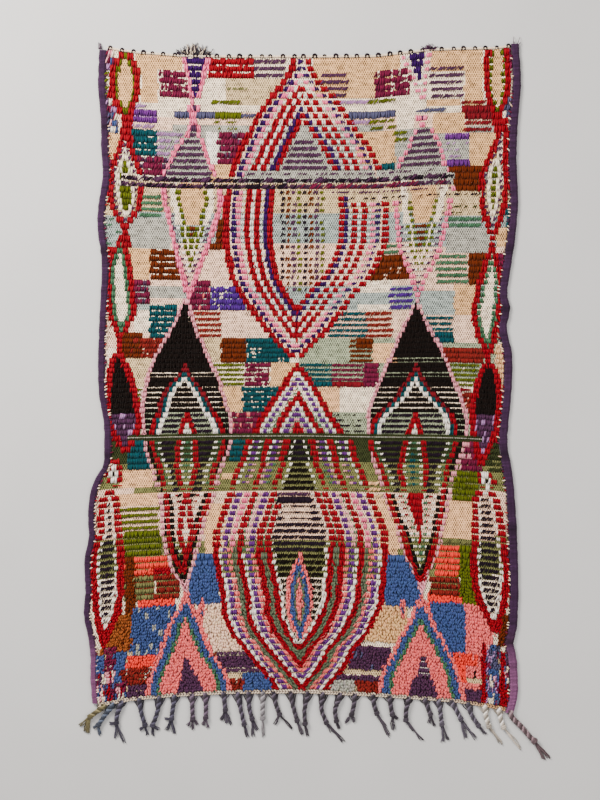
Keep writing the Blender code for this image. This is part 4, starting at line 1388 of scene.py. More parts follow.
def multiply_colour(tree, colour, level):
    node = add_node(tree, "ShaderNodeVectorMath", operation="SCALE")
    tree.links.new(colour, node.inputs["Vector"])
    tree.links.new(level, node.inputs["Scale"])
    return node.outputs["Vector"]


def add_bump(tree, shader, height, distance):
    bump = add_node(tree, "ShaderNodeBump")
    bump.inputs["Strength"].default_value = 1.0
    bump.inputs["Distance"].default_value = distance
    tree.links.new(height, bump.inputs["Height"])
    tree.links.new(bump.outputs["Normal"], shader.inputs["Normal"])


def yarn_colour(tree):
    return add_node(tree, "ShaderNodeAttribute", attribute_name=COLOUR_LAYER).outputs["Color"]


def rag_material(name, stretch, roughness=0.92, sheen=0.03):
    """Spun yarn or torn rag: fine fibres along it, and patches a little lighter or darker."""
    material, tree, shader = start_material(name, roughness, sheen)
    fibres = noise(tree, stretched_place(tree, stretch), 1.0, 3.0)
    patches = noise(tree, stretched_place(tree, (1, 1, 1)), 90.0)
    fine = shade_between(tree, fibres, 0.72, 1.22)
    broad = shade_between(tree, patches, 0.9, 1.1)
    level = math_node(tree, "MULTIPLY", fine, broad)
    colour = multiply_colour(tree, yarn_colour(tree), level)
    tree.links.new(colour, shader.inputs["Base Color"])
    add_bump(tree, shader, fibres, 0.0012)
    return material


def weave_material(name):
    """Ground weave: picks of weft pass over and under pairs of dark warps. The gaps between the
    picks are partly dark warp and partly painted shade.
    """
    material, tree, shader = start_material(name, 0.93, 0.08)
    place = add_node(tree, "ShaderNodeUVMap", uv_map=WEAVE_MAP).outputs["UV"]
    split = add_node(tree, "ShaderNodeSeparateXYZ")
    tree.links.new(place, split.inputs[0])
    waves = []
    for axis in ("X", "Y"):
        turns = math_node(tree, "MULTIPLY", split.outputs[axis], math.tau)
        waves.append(math_node(tree, "COSINE", turns, 0))
    picks = math_node(tree, "MULTIPLY", *waves)
    uneven = noise(tree, stretched_place(tree, (40, 90, 1)), 1.0, 2.0)
    relief = math_node(tree, "MULTIPLY_ADD", picks, 0.5)
    tree.links.new(uneven, relief.node.inputs[2])
    fibres = noise(tree, stretched_place(tree, (260, 700, 500)), 1.0, 3.0)
    # Painted shade: the weave is darkened between the picks, partly as the dark warps and partly
    # as shade in the gaps
    warp_and_gap_shade = add_node(tree, "ShaderNodeMapRange", clamp=True, interpolation_type="SMOOTHSTEP")
    warp_and_gap_shade.inputs["From Min"].default_value = 0.12
    warp_and_gap_shade.inputs["From Max"].default_value = 0.66
    warp_and_gap_shade.inputs["To Min"].default_value = 0.05
    warp_and_gap_shade.inputs["To Max"].default_value = 1.28
    tree.links.new(relief, warp_and_gap_shade.inputs["Value"])
    shade = shade_between(tree, fibres, 0.86, 1.1)
    level = math_node(tree, "MULTIPLY", warp_and_gap_shade.outputs["Result"], shade)
    colour = multiply_colour(tree, yarn_colour(tree), level)
    tree.links.new(colour, shader.inputs["Base Color"])
    height = math_node(tree, "MULTIPLY_ADD", fibres, 0.25)
    tree.links.new(relief, height.node.inputs[2])
    add_bump(tree, shader, height, 0.0016)
    return material


def shaggy_share(y):
    """How shaggy the pile is at a height of the rug in metres: 0 above, 1 in the lower part."""
    return np.clip((SHAGGY_FROM - y) / FADE_LENGTH, 0, 1)


def seat(item, material, nodes):
    """Give a finished piece its material and its body, and hide the nodes of the model that it
    stands for.
    """
    item.data.materials.append(material)
    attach(item, BODY)
    if nodes:
        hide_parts(*nodes)
    return item


class WEAVE_OT_ground(bpy.types.Operator):
    """Weave the ground of the field: wefts over warps, with a ridge at each row of knots."""

    bl_idname = "rug.weave_ground"
    bl_label = "Ground weave"

    def execute(self, context):
        pile = context.scene.rug_pile
        chart = woven_chart(pile.knots_across)
        columns = pile.knots_across
        lines = row_lines()
        chance = np.random.default_rng(SEED + 1)
        x, y = field_place(np.linspace(0, 1, columns + 1)[None, :], lines[:, None])
        count = len(lines)
        ridge = (np.arange(count) % 2)[:, None]
        rim = np.ones(x.shape)
        rim[[0, -1], :] = 0.72
        rim[:, [0, -1]] = 0.72
        top = pile.weave_height * rim + ridge * 0.9 * MM + chance.normal(0, 0.22 * MM, x.shape)
        top += 1.1 * MM * shaggy_share(y) + 0.35 * MM * ((np.arange(columns + 1) % 2) * 2 - 1)
        under = 0.35 * MM + (1 - ridge) * 0.5 * MM + np.abs(chance.normal(0, 0.12 * MM, x.shape))
        points = np.stack([np.stack([x, y, z], axis=-1) for z in (top, under)]).reshape(-1, 3)
        index = np.arange(x.size).reshape(x.shape)
        upper = np.stack(
            [index[:-1, :-1], index[:-1, 1:], index[1:, 1:], index[1:, :-1]], axis=-1
        ).reshape(-1, 4)
        lower = upper[:, ::-1] + x.size
        rim_loop = np.concatenate(
            [index[0, :-1], index[:-1, -1], index[-1, :0:-1], index[:0:-1, 0]]
        )
        following = np.roll(rim_loop, -1)
        wall = np.stack([rim_loop, rim_loop + x.size, following + x.size, following], axis=-1)
        faces = np.vstack([upper, lower, wall])

        cells = self.cell_colours(chart, chance)
        rim_colours = np.tile(yarn_dye("sand") * 0.7, (len(wall), 1))
        corner_colours = np.vstack([cells, cells, rim_colours]).repeat(4, axis=0)

        low = points[:, :2].min(axis=0)
        size = max(points[:, :2].max(axis=0) - low)
        planned = (points[faces.ravel()][:, :2] - low) / size * 0.49
        planned[upper.size:upper.size + lower.size, 0] += 0.5
        counted = points[faces.ravel()][:, :2] / (pile.warp_pitch, pile.pick_pitch)
        maps = {BAKE_MAP: planned, WEAVE_MAP: counted}
        ground = mesh_piece("ground_weave", points, faces, corner_colours, maps)
        seat(ground, weave_material("ground_weave"), ["pile_field"])
        return {"FINISHED"}

    def cell_colours(self, chart, chance):
        """Two cells of weave for each knot, under it and beside it, in its yarn or the weft's.
        They are darkened with painted shade under a tuft, and beside a knot that fills its row.
        """
        yarns = yarn_table()
        knots = yarns[chart.yarn]
        wefts = yarns[chart.weft]
        shade = chance.normal(1, 0.05, chart.shape)[..., None]
        full = (chart.cover > 0.9)[..., None]
        wide = (chart.cover > 0.66)[..., None]
        tied = (chart.cover > 0)[..., None]
        # Painted shade: the cell under a knot is darkened, most under a wide knot, as the shadow
        # of its tuft
        under_knot_shaded = np.where(wide, knots * 0.6, np.where(tied, wefts * 0.7, wefts * 0.98))
        # Beside a knot that fills its row the cell takes the knot's yarn, darkened as painted
        # shade in the gap between rows
        over_knot_shaded = np.where(full, knots * 0.7, wefts)
        return np.stack([under_knot_shaded * shade, over_knot_shaded * shade], axis=1).reshape(-1, 3)


class WEAVE_OT_pile(bpy.types.Operator):
    """Tie the rows of rag knots: short flat tufts that lie toward the fringed end."""

    bl_idname = "rug.tie_pile"
    bl_label = "Rows of knots"

    def execute(self, context):
        pile = context.scene.rug_pile
        chart = woven_chart(pile.knots_across)
        yarns = yarn_table()
        material = rag_material("rag_pile", (900, 210, 600))
        row, column = np.nonzero(chart.cover > 0)
        dense = (chart.cover > 0.9) & (shaggy_share(chart.y * CM) > 0.5)
        copies = 1 + dense[row, column]
        tufts = np.stack([kind.repeat(copies) for kind in (row, column, copies)], axis=1)
        again = np.concatenate([[False], (tufts[1:] == tufts[:-1]).all(axis=1)])
        shift = np.where(tufts[:, 2] == 2, np.where(again, -0.25, 0.25), 0)
        for number, part in enumerate(np.array_split(np.arange(len(tufts)), PILE_PARTS)):
            item = self.tie_part(pile, chart, yarns, tufts[part], shift[part], number)
            seat(item, material, ["pile_field"])
        return {"FINISHED"}

    def tie_part(self, pile, chart, yarns, tufts, shift, number):
        """One stretch of the pile, where a dense knot is two short tufts that overlap."""
        chance = np.random.default_rng(SEED + 10 + number)
        uneven = pile.unevenness
        row, column, copies = tufts.T
        total = len(tufts)
        x = chart.x[row, column] * CM
        y = chart.y[row, column] * CM
        cover = chart.cover[row, column] * np.where(copies == 2, 0.64, 1)
        relief = chart.relief[row, column]
        slope = chart.slope[row, column]
        lines = row_lines()
        pitch = (lines[2 * row + 2] - lines[2 * row]) * (FIELD_HIGH - FIELD_LOW)
        y = y + (shift + chance.normal(0, 0.1, total) * (copies == 2)) * pitch
        x = x + slope * shift * pitch
        left = np.interp(y, BORDER["left"][:, 1], BORDER["left"][:, 0])
        right = np.interp(y, BORDER["right"][:, 1], BORDER["right"][:, 0])
        width = (right - left) / pile.knots_across
        shaggy = shaggy_share(y)
        top = pile.knot_height + (pile.shaggy_height - pile.knot_height) * shaggy
        top = top - 1.6 * MM * (cover < 0.6) * (copies == 1)
        top = top + chance.normal(0, 0.5 * MM * uneven * 2, total)
        length = pitch * cover * (1 + 0.12 * shaggy) * (1 + chance.normal(0, 0.26 * uneven, total))
        lean = chance.normal(0, 0.14 + 0.12 * shaggy, total) * uneven * 2
        lean -= chart.lean[row, column]
        half = width * (chance.uniform(0.52, 0.64, total) - 0.08 * relief)
        thick = pile.tuft_thickness * (0.9 + 0.25 * shaggy) * chance.uniform(0.9, 1.1, total)
        root_y = y + length * 0.5

        stops = np.array([0.0, 0.42, 1.0])
        reach = root_y[:, None] - length[:, None] * stops
        drift = x[:, None] + lean[:, None] * length[:, None] * stops**1.5
        drift = drift + slope[:, None] * length[:, None] * (0.5 - stops)
        crest = top - thick * 0.5
        tip = top - thick * 0.5 - 0.6 * MM - 1.3 * MM * relief
        rise = np.stack([np.full(total, 4.4 * MM), crest, tip], axis=1)
        widths = half[:, None] * np.array([0.9, 1.0, 0.84])
        thicks = thick[:, None] * np.array([0.45, 0.5, 0.36])
        roll = chance.normal(0, 0.22 * uneven, total)
        corners = np.array([[-1, 0.12], [0, 1], [1, -0.12], [0, -1]])
        turned_x = corners[:, 0][None, :] * np.cos(roll)[:, None]
        turned_x = turned_x - corners[:, 1][None, :] * np.sin(roll)[:, None] * 0.4
        turned_z = corners[:, 1][None, :] + corners[:, 0][None, :] * np.sin(roll)[:, None] * 0.5
        points = np.empty((total, 3, 4, 3))
        points[..., 0] = drift[..., None] + widths[..., None] * turned_x[:, None, :]
        points[..., 1] = reach[..., None] - 0.25 * thicks[..., None] * corners[:, 1]
        points[..., 2] = rise[..., None] + thicks[..., None] * turned_z[:, None, :]

        starts = np.arange(total)[:, None, None] * 12
        faces = (tube_faces(3, 4)[None] + starts).reshape(-1, 4)

        base = yarns[chart.yarn[row, column]]
        shade = 1 + chance.normal(0, 0.3 * uneven, total) * relief
        tint = 1 + chance.normal(0, 0.06 * uneven, (total, 3))
        base = base * np.clip(shade, 0.5, 1.5)[:, None] * tint
        # Painted light along each tuft: the root is painted darker as shade where it goes into the
        # weave, the crest a little lighter as a highlight
        along = np.array([0.7, 1.08, 1.0])[None, :, None, None]
        # Painted shade round each tuft: its top is painted lighter and its sides and underside
        # darker so that it looks round, more so where its weave has more relief
        edge = np.array([-0.34, 0.12, -0.24, -0.5])[None, :] * (0.2 + 0.8 * relief)[:, None]
        colours = base[:, None, None, :] * along * (1 + edge[:, None, :, None])

        name = f"pile_part_{number + 1}"
        maps = {BAKE_MAP: tuft_map(total)}
        return mesh_piece(name, points.reshape(-1, 3), faces, colours.reshape(-1, 3), maps)


class WEAVE_OT_side_edges(bpy.types.Operator):
    """Overcast both side edges in purple yarn, with cream weft turns along their inner line."""

    bl_idname = "rug.overcast_sides"
    bl_label = "Side edges"

    def execute(self, context):
        material = rag_material("side_yarn", (600, 160, 500), 0.9, 0.2)
        weft_material = rag_material("weft_turns", (500, 500, 500))
        self.overcast(context, "left", LEFT_BUNCHES, material)
        self.overcast(context, "right", RIGHT_BUNCHES, material)
        self.turn_wefts(context, weft_material)
        return {"FINISHED"}

    def overcast(self, context, side, bunches, material):
        edges = context.scene.rug_edges
        chance = np.random.default_rng(SEED + (20 if side == "left" else 21))
        ys, outer, inner = side_stations(side)
        wraps = int((ys[-1] - ys[0]) / edges.wrap_pitch)
        rings = wraps * RINGS_PER_WRAP
        y = np.linspace(ys[0], ys[-1], rings)
        outer = np.interp(y, ys, outer)
        inner = np.interp(y, ys, inner)
        middle = (outer + inner) / 2
        half = np.abs(outer - inner) / 2
        around = 16
        turns = np.arange(around) / around * math.tau
        across = np.cos(turns)
        up = np.sin(turns)
        wrap = y[:, None] / edges.wrap_pitch + across[None, :] * 0.45
        wrapped = np.abs(np.sin(math.pi * wrap))
        grooves = np.abs(np.cos(3 * turns - 0.6))[None, :]
        cords = 0.9 + 0.1 * grooves
        swells = np.interp(y, np.linspace(ys[0], ys[-1], 160), chance.normal(0, 1, 160))
        unevenness = 1 + 0.05 * swells[:, None]
        bulge = cords * (0.9 + 0.1 * wrapped) * np.clip(unevenness, 0.86, 1.08)
        pucker = np.zeros(rings)
        for spot in bunches:
            pucker += np.exp(-(((y - spot * CM) / 0.016) ** 2))
        pucker = np.clip(pucker, 0, 1)[:, None]
        x = middle[:, None] + half[:, None] * across[None, :] * bulge * (1 + 0.04 * pucker)
        height = edges.edge_height / 2
        z = height + height * np.sign(up)[None, :] * np.abs(up)[None, :] ** 0.8 * bulge
        points = np.stack(np.broadcast_arrays(x, y[:, None], np.maximum(z, 0.2 * MM)), axis=-1)
        index = np.arange(rings * around).reshape(rings, around)
        following = np.roll(index, -1, axis=1)
        skin = np.stack([index[:-1], index[1:], following[1:], following[:-1]], axis=-1)
        end = cap(around)
        faces = np.vstack([skin.reshape(-1, 4), end, end[:, ::-1] + (rings - 1) * around])
        upper = np.array(edges.upper_colour)
        lower = np.array(edges.lower_colour)
        share = np.clip((MAUVE_FROM - y) / FADE_LENGTH, 0, 1)[:, None]
        base = upper + (lower - upper) * share
        tones = chance.normal(1, 0.16, wraps + 2)
        per_wrap = tones[np.floor(wrap[:, 0]).astype(int) % wraps]
        # Each wrap has its own random tone; painted shade darkens the yarn between the wraps and
        # in the grooves between its cords, and the bunches are painted darker as well
        colours = base[:, None, :] * per_wrap[:, None, None] * (0.6 + 0.5 * wrapped[..., None])
        colours = colours * (0.62 + 0.46 * grooves[..., None]) * (1 - 0.55 * pucker[..., None])
        item = plain_piece(f"side_edge_{side}", points, faces, colours)
        seat(item, material, [f"selvedge_{side}"])

    def turn_wefts(self, context, material):
        """Short slanted turns where the wefts go round the outermost warps."""
        tones = [yarn_dye(name) for name in TURN_YARNS]
        chance = np.random.default_rng(SEED + 30)
        turns = Tubes()
        for side, inward in (("left", 1), ("right", -1)):
            ys, _outer, inner = side_stations(side)
            border = BORDER[side]
            for line in row_lines()[1:-1]:
                y = float(np.interp(line, (0, 1), (border[0, 1], border[-1, 1])))
                if chance.random() < 0.4:
                    continue
                y += chance.normal(0, 1.6 * MM)
                edge = float(np.interp(y, ys, inner))
                reach = chance.uniform(3, 8) * MM
                slant = chance.normal(-3, 3) * MM
                path = [
                    (edge - inward * 3 * MM, y + slant, 9.3 * MM),
                    (edge - inward * 1 * MM, y + slant * 0.7, 10.6 * MM),
                    (edge + inward * reach * 0.5, y + slant * 0.3, 10.2 * MM),
                    (edge + inward * reach, y, 6.5 * MM),
                ]
                tone = tones[int(chance.random() ** 1.5 * len(tones))] * chance.uniform(0.7, 1.05)
                turns.add(path, [1.1 * MM, 2 * MM, 2.1 * MM, 1.3 * MM], tone)
        item = turns.piece("weft_turns")
        seat(item, material, [])


class WEAVE_OT_end_band(bpy.types.Operator):
    """Weave the narrow chevron band that holds the fringe."""

    bl_idname = "rug.weave_end_band"
    bl_label = "End band"

    def execute(self, context):
        edges = context.scene.rug_edges
        chance = np.random.default_rng(SEED + 40)
        lower = BORDER["lower"]
        points = node_points("fringe_end_band")
        upright = points[points[:, 2] > 7.9 * MM]
        first = max(points[points[:, 1] > lower[0, 1] - 18 * MM][:, 0].min(), lower[0, 0] - 2 * MM)
        last = min(upright[:, 0].max(), lower[-1, 0] + 2 * MM)
        columns = int((last - first) / edges.band_pitch) * 6
        x = np.linspace(first, last, columns + 1)
        top = np.interp(x, lower[:, 0], lower[:, 1]) - 0.4 * MM
        shares = np.linspace(0, 1, 11)
        phase = x / edges.band_pitch
        slant = np.abs(shares - 0.5)[None, :] * 1.7
        picks = np.abs(np.sin(math.pi * (phase[:, None] + slant)))
        lanes = np.abs(np.sin(math.tau * shares))[None, :]
        y = top[:, None] - BAND_WIDTH * shares[None, :]
        profile = np.sqrt(np.clip(1 - (2 * shares - 1) ** 4, 0, 1))[None, :]
        z = 2.2 * MM + 4.8 * MM * profile + 1.1 * MM * picks * lanes
        z += chance.normal(0, 0.15 * MM, z.shape)
        grid = np.stack(np.broadcast_arrays(x[:, None], y, z), axis=-1)
        under = grid[:, ::-1].copy()
        under[..., 2] = 0.3 * MM
        rings = np.concatenate([grid, under], axis=1)
        faces = tube_faces(*rings.shape[:2])
        cream = yarn_dye("cream")
        sand = yarn_dye("sand")
        dark = yarn_dye("ink")
        share = np.clip((x - 0.45) / 0.15, 0, 1)[:, None]
        pale = cream + (sand - cream) * share
        light = np.clip(((picks * (0.35 + 0.65 * lanes))[..., None] - 0.26) * 2.4, 0, 1)
        upper = dark * 1.6 + (pale[:, None, :] - dark * 1.6) * light
        # Painted shade: the underside takes the top's colours darkened, which also darkens the
        # band's edges where they meet the floor
        colours = np.concatenate([upper, upper[:, ::-1] * 0.7], axis=1)
        item = plain_piece("end_band", rings, faces, colours)
        material = rag_material("band_yarn", (500, 500, 500))
        seat(item, material, ["fringe_end_band"])
        return {"FINISHED"}


def fringe_colour(number):
    dye = next(dye for dye in FRINGE_DYES if number <= dye.last)
    return np.array(linear(dye.colour))


def bent_path(corners, steps):
    """A smooth path through a few corners, in metres."""
    corners = np.array(corners, float)
    lengths = np.linalg.norm(np.diff(corners, axis=0), axis=1)
    spots = np.concatenate([[0], np.cumsum(lengths)])
    at = np.linspace(0, spots[-1], steps)
    return np.stack([smooth_through(spots, corners[:, axis], at) for axis in range(3)], axis=1)


def twisted_cords(tubes, path, radius, cords, pitch, colour, chance, phase):
    """Cords that wind round each other along a path, and taper a little at the far end."""
    lengths = np.concatenate([[0], np.cumsum(np.linalg.norm(np.diff(path, axis=0), axis=1))])
    heading = np.gradient(path, axis=0)
    heading /= np.linalg.norm(heading, axis=1, keepdims=True)
    side = np.stack([-heading[:, 1], heading[:, 0], np.zeros(len(path))], axis=1)
    side /= np.maximum(np.linalg.norm(side, axis=1, keepdims=True), 1e-9)
    up = np.array([0, 0, 1.0])
    for cord in range(cords):
        angle = lengths / pitch * math.tau + cord / cords * math.tau + phase
        offset = side * (np.cos(angle) * radius * 1.05)[:, None]
        offset = offset + up * (np.sin(angle) * radius * 0.42)[:, None]
        # The three cords are dark, mid and pale: partly their own tones, and the pale cord also
        # stands in as a painted highlight along the twist
        shade = (0.75, 1.4, 3.8)[cord % 3] * chance.uniform(0.85, 1.15)
        fade = np.linspace(1, 0.85, len(path))
        tubes.add(path + offset, radius * fade, colour * shade)


class WEAVE_OT_fringe(bpy.types.Operator):
    """Twist, knot and fray the warp ends that hang from the end band."""

    bl_idname = "rug.knot_fringe"
    bl_label = "Knotted fringe"

    def execute(self, context):
        fringe = context.scene.rug_fringe
        chance = np.random.default_rng(SEED + 50)
        tubes = Tubes()
        lower = BORDER["lower"]
        for number, tassel in enumerate(FRINGE):
            root_y = np.interp(tassel.root * MM, lower[:, 0], lower[:, 1]) - ROOT_DROP
            self.tassel(tubes, fringe, tassel, root_y, fringe_colour(number), chance)
        item = tubes.piece("knotted_fringe")
        material = rag_material("warp_yarn", (420, 420, 420), 0.9, 0.2)
        seat(item, material, ["fringe_end_band"])

        tail = Tubes()
        tail_root = side_stations("right")[0][0]
        mauve = np.array(context.scene.rug_edges.lower_colour)
        colour = mauve * 0.12 + np.array(linear("5d5654")) * 0.5
        self.tassel(tail, fringe, CORNER_TAIL, tail_root, colour, chance, 1.25)
        item = tail.piece("corner_tail")
        seat(item, material, ["selvedge_right"])
        return {"FINISHED"}

    def tassel(self, tubes, fringe, tassel, root_y, colour, chance, stoutness=1.0):
        level = fringe.cord_radius * stoutness * 1.5
        root = np.array([tassel.root * MM, root_y, level + 0.6 * MM])
        bend = np.array([tassel.bend[0] * MM, tassel.bend[1] * MM, level])
        knot = np.array([tassel.knot[0] * MM, tassel.knot[1] * MM, level])
        inside = root + (0, 6 * MM, 0)
        path = bent_path([inside, root, bend, knot], 20)
        radius = fringe.cord_radius * stoutness
        phase = chance.random() * 6
        twisted_cords(tubes, path, radius, 3, fringe.twist_pitch, colour, chance, phase)
        if stoutness == 1:
            self.arch(tubes, path, root, colour, chance)
        self.knot(tubes, path, knot, radius, colour, chance)
        for tip in tassel.tips:
            self.tail(tubes, fringe, path, knot, tip, colour, chance)

    def arch(self, tubes, path, root, colour, chance):
        """Warps on both sides of the root lean in and join the stem."""
        for reach in (-19, -12, -6, 6, 12, 19):
            spread = reach * MM * chance.uniform(0.8, 1.1)
            join = path[6 + int(abs(reach) / 6)]
            start = np.array([root[0] + spread, root[1] + 3 * MM, 3.2 * MM])
            leave = np.array([root[0] + spread * 0.86, root[1] - 3.5 * MM, 3.2 * MM])
            near = join + (np.sign(reach) * 3.5 * MM, 5 * MM, -1.2 * MM)
            end = join + (0, 0, -1.4 * MM)
            line = bent_path([start, leave, near, end], 8)
            shade = chance.uniform(0.7, 1.35)
            tubes.add(line, np.linspace(2.0, 1.6, 8) * MM, colour * shade)

    def knot(self, tubes, path, knot, radius, colour, chance):
        """An overhand knot: two fat turns round the stem."""
        heading = path[-1] - path[-4]
        heading /= np.linalg.norm(heading)
        side = np.array([-heading[1], heading[0], 0])
        up = np.array([0, 0, 1.0])
        turn = np.linspace(0, math.tau * 1.9, 22)
        line = (
            knot
            + heading * ((turn / turn[-1] - 0.5) * 10 * MM)[:, None]
            + side * (np.cos(turn) * radius * 1.4)[:, None]
            + up * (np.sin(turn) * radius * 0.7 + 0.9 * MM)[:, None]
        )
        tubes.add(line, radius * 0.85, colour * chance.uniform(1, 1.7))

    def tail(self, tubes, fringe, path, knot, tip, colour, chance):
        """Loose yarns from the knot to a tip, waved and spread a little."""
        heading = path[-1] - path[-4]
        heading /= np.linalg.norm(heading)
        end = np.array([tip[0] * MM, tip[1] * MM, 2.4 * MM])
        span = end - knot
        side = np.array([-span[1], span[0], 0]) / np.linalg.norm(span[:2])
        for strand in range(5):
            spread = (strand - 2) * 1.5 * MM * chance.uniform(0.6, 1.4)
            short = chance.uniform(0.84, 1.0)
            wave = chance.normal(0, 1.6 * MM)
            lift = (0, 0, 0.6 * MM * (strand % 3))
            half = knot + span * 0.5 + side * (spread * 0.9 + wave) + lift
            leave = knot + span * 0.18 + side * spread * 0.5 + (0, 0, -0.6 * MM)
            tip_end = knot + span * short + side * spread * 1.5
            line = bent_path([knot - heading * 2 * MM, leave, half, tip_end], 12)
            line[:, 2] = np.maximum(line[:, 2], fringe.yarn_radius * 1.25 + 0.2 * MM)
            curl = np.sin(np.linspace(0, 9, 12) + chance.random() * 6) * 0.9 * MM
            line[2:] += (side * curl[:, None])[2:]
            radii = np.linspace(1.25, 0.6, 12) * fringe.yarn_radius
            tubes.add(line, radii, colour * chance.uniform(0.7, 2.4))


def upper_line(x):
    """Where the looped end of the field lies, for each place across it."""
    return np.interp(x, BORDER["upper"][:, 0], BORDER["upper"][:, 1])


class WEAVE_OT_looped_end(bpy.types.Operator):
    """Lay the cream cord of the looped end, its dark warp loops and the frayed wool in it."""

    bl_idname = "rug.loop_upper_end"
    bl_label = "Looped end"

    def execute(self, context):
        edges = context.scene.rug_edges
        chance = np.random.default_rng(SEED + 60)
        dark = np.array(linear("1f1a22"))
        start, end = BORDER["upper"][0, 0] + 2 * MM, BORDER["upper"][-1, 0] - 2 * MM
        item = self.lay_cord(start, end)
        seat(item, rag_material("cord_yarn", (500, 500, 500)), ["top_edge_cord"])
        material = rag_material("loop_yarn", (500, 500, 500))
        item = self.lay_loops(start, end, edges.loop_pitch, dark, chance)
        seat(item, material, ["top_edge_cord"])
        item = self.fray_ends(dark, chance)
        seat(item, material, ["top_edge_cord"])
        return {"FINISHED"}

    def lay_cord(self, start, end):
        """Two cream strands that wind round each other along the end."""
        cord = Tubes()
        steps = int((end - start) / (3.4 * MM))
        x = np.linspace(start, end, steps)
        base = upper_line(x)
        cream = yarn_dye("cream")
        for strand in range(2):
            angle = x / (17 * MM) * math.tau + strand * math.pi
            y = base + 5.0 * MM + np.cos(angle) * 1.9 * MM
            z = 4.4 * MM + np.sin(angle) * 1.5 * MM
            cord.add(np.stack([x, y, z], axis=1), 2.6 * MM, cream * (0.95 - 0.12 * strand), 8)
        return cord.piece("looped_cord")

    def lay_loops(self, start, end, pitch, dark, chance):
        """Dark warps that come out of the weave, round the cord and back."""
        loops = Tubes()
        count = int((end - start) / pitch)
        for spot in np.linspace(start + 10 * MM, end - 10 * MM, count):
            spot += chance.normal(0, 2.4 * MM)
            y = float(upper_line(spot))
            turn = np.linspace(-0.5, math.pi + 0.5, 12)
            size = chance.uniform(0.9, 1.25)
            path = np.stack(
                [
                    spot + np.cos(turn[::-1]) * 4.8 * MM * size,
                    y + 4.2 * MM + np.sin(turn) * 6.2 * MM * size,
                    5 * MM + np.sin(turn) * 2 * MM,
                ],
                axis=1,
            )
            loops.add(path, 3.3 * MM * size, dark * chance.uniform(0.5, 1.4))
        return loops.piece("warp_loops")

    def fray_ends(self, dark, chance):
        """Loose yarns that stand out of the end in two groups, and at its two corners."""
        frayed = Tubes()
        cream = yarn_dye("cream")
        plum = yarn_dye("plum")
        for tuft in UPPER_TUFTS:
            purple = tuft.root > 0
            for _yarn in range(12):
                root = tuft.root * MM + chance.normal(0, 4 * MM)
                y = float(upper_line(root))
                rise = tuft.height * MM * chance.uniform(0.5, 1.0)
                lean = tuft.lean * 0.6 * MM + chance.normal(0, 5 * MM)
                steps = np.linspace(0, 1, 14)
                waves = steps * chance.uniform(5, 11) + chance.random() * 6
                curl = np.sin(waves) * 3.2 * MM * steps
                path = np.stack(
                    [
                        root + lean * steps + curl,
                        y + 2 * MM + rise * steps,
                        2.2 * MM + 7 * MM * np.sin(math.pi * steps) * chance.uniform(0.4, 1),
                    ],
                    axis=1,
                )
                tone = dark * chance.uniform(0.7, 2.6)
                if purple:
                    tone = plum * chance.uniform(0.5, 1.1)
                elif chance.random() < 0.25:
                    tone = cream * chance.uniform(0.5, 0.9)
                frayed.add(path, np.linspace(1.7, 0.7, 14) * MM, tone)
        for corner_x, corner_y, lean in ((-0.668, 1.062, -4), (0.681, 1.07, 3)):
            for _yarn in range(5):
                steps = np.linspace(0, 1, 12)
                path = np.stack(
                    [
                        corner_x + (chance.normal(lean, 6) * steps + chance.normal(0, 3)) * MM,
                        corner_y + chance.uniform(14, 34) * MM * steps - 6 * MM,
                        2 * MM + 5 * MM * np.sin(math.pi * steps),
                    ],
                    axis=1,
                )
                tone = plum * chance.uniform(0.5, 1.2)
                frayed.add(path, np.linspace(1.3, 0.6, 12) * MM, tone)
        return frayed.piece("frayed_ends")


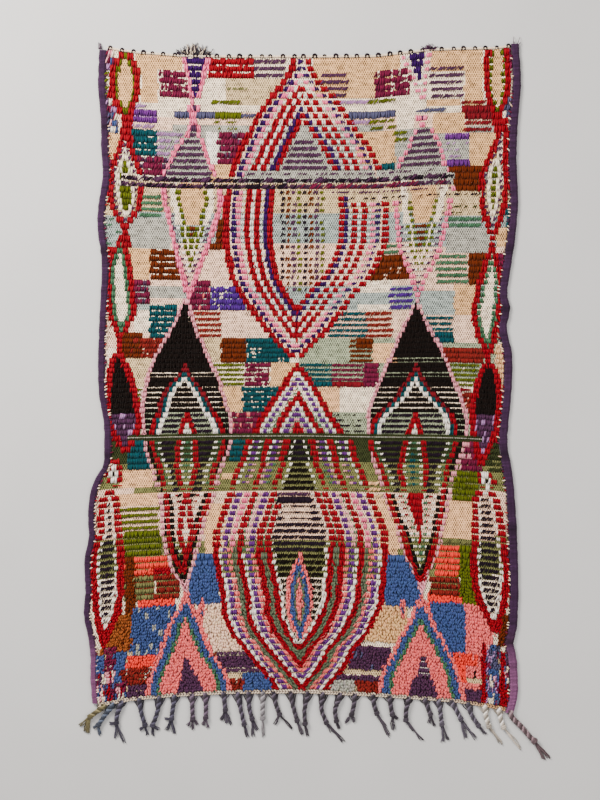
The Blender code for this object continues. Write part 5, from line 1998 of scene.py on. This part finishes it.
class WEAVE_OT_stage(bpy.types.Operator):
    """Set the plain floor, the soft light and the camera over the rug."""

    bl_idname = "rug.set_stage"
    bl_label = "Stage"

    def execute(self, context):
        stage = context.scene.rug_stage
        bpy.ops.mesh.primitive_plane_add(size=24, location=(0, 0, -0.3 * MM))
        floor = context.object
        floor.name = "floor"
        material, tree, shader = start_material("floor", 0.85, 0.0)
        place = stretched_place(tree, (1, 1, 1))
        grain = shade_between(tree, noise(tree, place, 3.0), 0.98, 1.02)
        colour = add_node(tree, "ShaderNodeRGB")
        colour.outputs[0].default_value = (*stage.floor_colour, 1)
        shaded = multiply_colour(tree, colour.outputs[0], grain)
        tree.links.new(shaded, shader.inputs["Base Color"])
        floor.data.materials.append(material)

        world = bpy.data.worlds.new("soft_room")
        world.use_nodes = True
        background = world.node_tree.nodes["Background"]
        background.inputs["Color"].default_value = (1.0, 0.9, 0.85, 1)
        background.inputs["Strength"].default_value = 0.7
        context.scene.world = world
        self.lamp("upper_left_light", place=(-2.7, 2.6, 2.6), size=1.8, power=440)
        self.lamp("right_light", place=(3.0, -0.6, 3.4), size=2.6, power=86)

        camera_data = bpy.data.cameras.new("camera")
        camera = bpy.data.objects.new("camera", camera_data)
        context.scene.collection.objects.link(camera)
        camera.location = (*PICTURE_MIDDLE, stage.camera_height)
        camera_data.sensor_width = SENSOR_WIDTH
        camera_data.lens = SENSOR_WIDTH * stage.camera_height / stage.picture_height
        context.scene.camera = camera
        return {"FINISHED"}

    def lamp(self, name, place, size, power):
        data = bpy.data.lights.new(name, "AREA")
        data.shape = "SQUARE"
        data.size = size
        data.energy = power
        data.color = (1.0, 0.87, 0.78)
        lamp = bpy.data.objects.new(name, data)
        lamp.location = place
        aim = Vector((0, 0, 0)) - Vector(place)
        lamp.rotation_euler = aim.to_track_quat("-Z", "Y").to_euler()
        bpy.context.scene.collection.objects.link(lamp)


class VIEW3D_PT_rag_rug(bpy.types.Panel):
    """Steps and sizes of the rag rug."""

    bl_label = "Rag rug"
    bl_space_type = "VIEW_3D"
    bl_region_type = "UI"
    bl_category = "Rag rug"

    def draw(self, context):
        layout = self.layout
        for group in (RugPile, RugEdges, RugFringe, RugStage, RugYarns):
            box = layout.box()
            settings = getattr(context.scene, SETTINGS[group])
            for name in group.__annotations__:
                box.prop(settings, name)
        for step in STEPS:
            layout.operator(step.bl_idname)


SETTINGS = {
    RugYarns: "rug_yarns",
    RugPile: "rug_pile",
    RugEdges: "rug_edges",
    RugFringe: "rug_fringe",
    RugStage: "rug_stage",
}
STEPS = (
    WEAVE_OT_ground,
    WEAVE_OT_pile,
    WEAVE_OT_side_edges,
    WEAVE_OT_end_band,
    WEAVE_OT_fringe,
    WEAVE_OT_looped_end,
    WEAVE_OT_stage,
)


def register():
    for group, name in SETTINGS.items():
        bpy.utils.register_class(group)
        setattr(bpy.types.Scene, name, bpy.props.PointerProperty(type=group))
    for item in (*STEPS, VIEW3D_PT_rag_rug):
        bpy.utils.register_class(item)


def unregister():
    for item in reversed((*STEPS, VIEW3D_PT_rag_rug)):
        bpy.utils.unregister_class(item)
    for group, name in reversed(SETTINGS.items()):
        delattr(bpy.types.Scene, name)
        bpy.utils.unregister_class(group)


def declare_cloth():
    """The ground is the rug's one sheet, and all else is tied, wrapped or knotted to it. This only
    lists the names of those other pieces and does nothing more with them.
    """
    names = [f"pile_part_{number + 1}" for number in range(PILE_PARTS)]
    names += [
        "side_edge_left",
        "side_edge_right",
        "weft_turns",
        "end_band",
        "knotted_fringe",
        "corner_tail",
        "looped_cord",
        "warp_loops",
        "frayed_ends",
    ]


def main():
    register()
    bpy.ops.rug.weave_ground()
    bpy.ops.rug.tie_pile()
    bpy.ops.rug.overcast_sides()
    bpy.ops.rug.weave_end_band()
    bpy.ops.rug.knot_fringe()
    bpy.ops.rug.loop_upper_end()
    bpy.ops.rug.set_stage()
    declare_cloth()


if __name__ == "__main__":
    main()
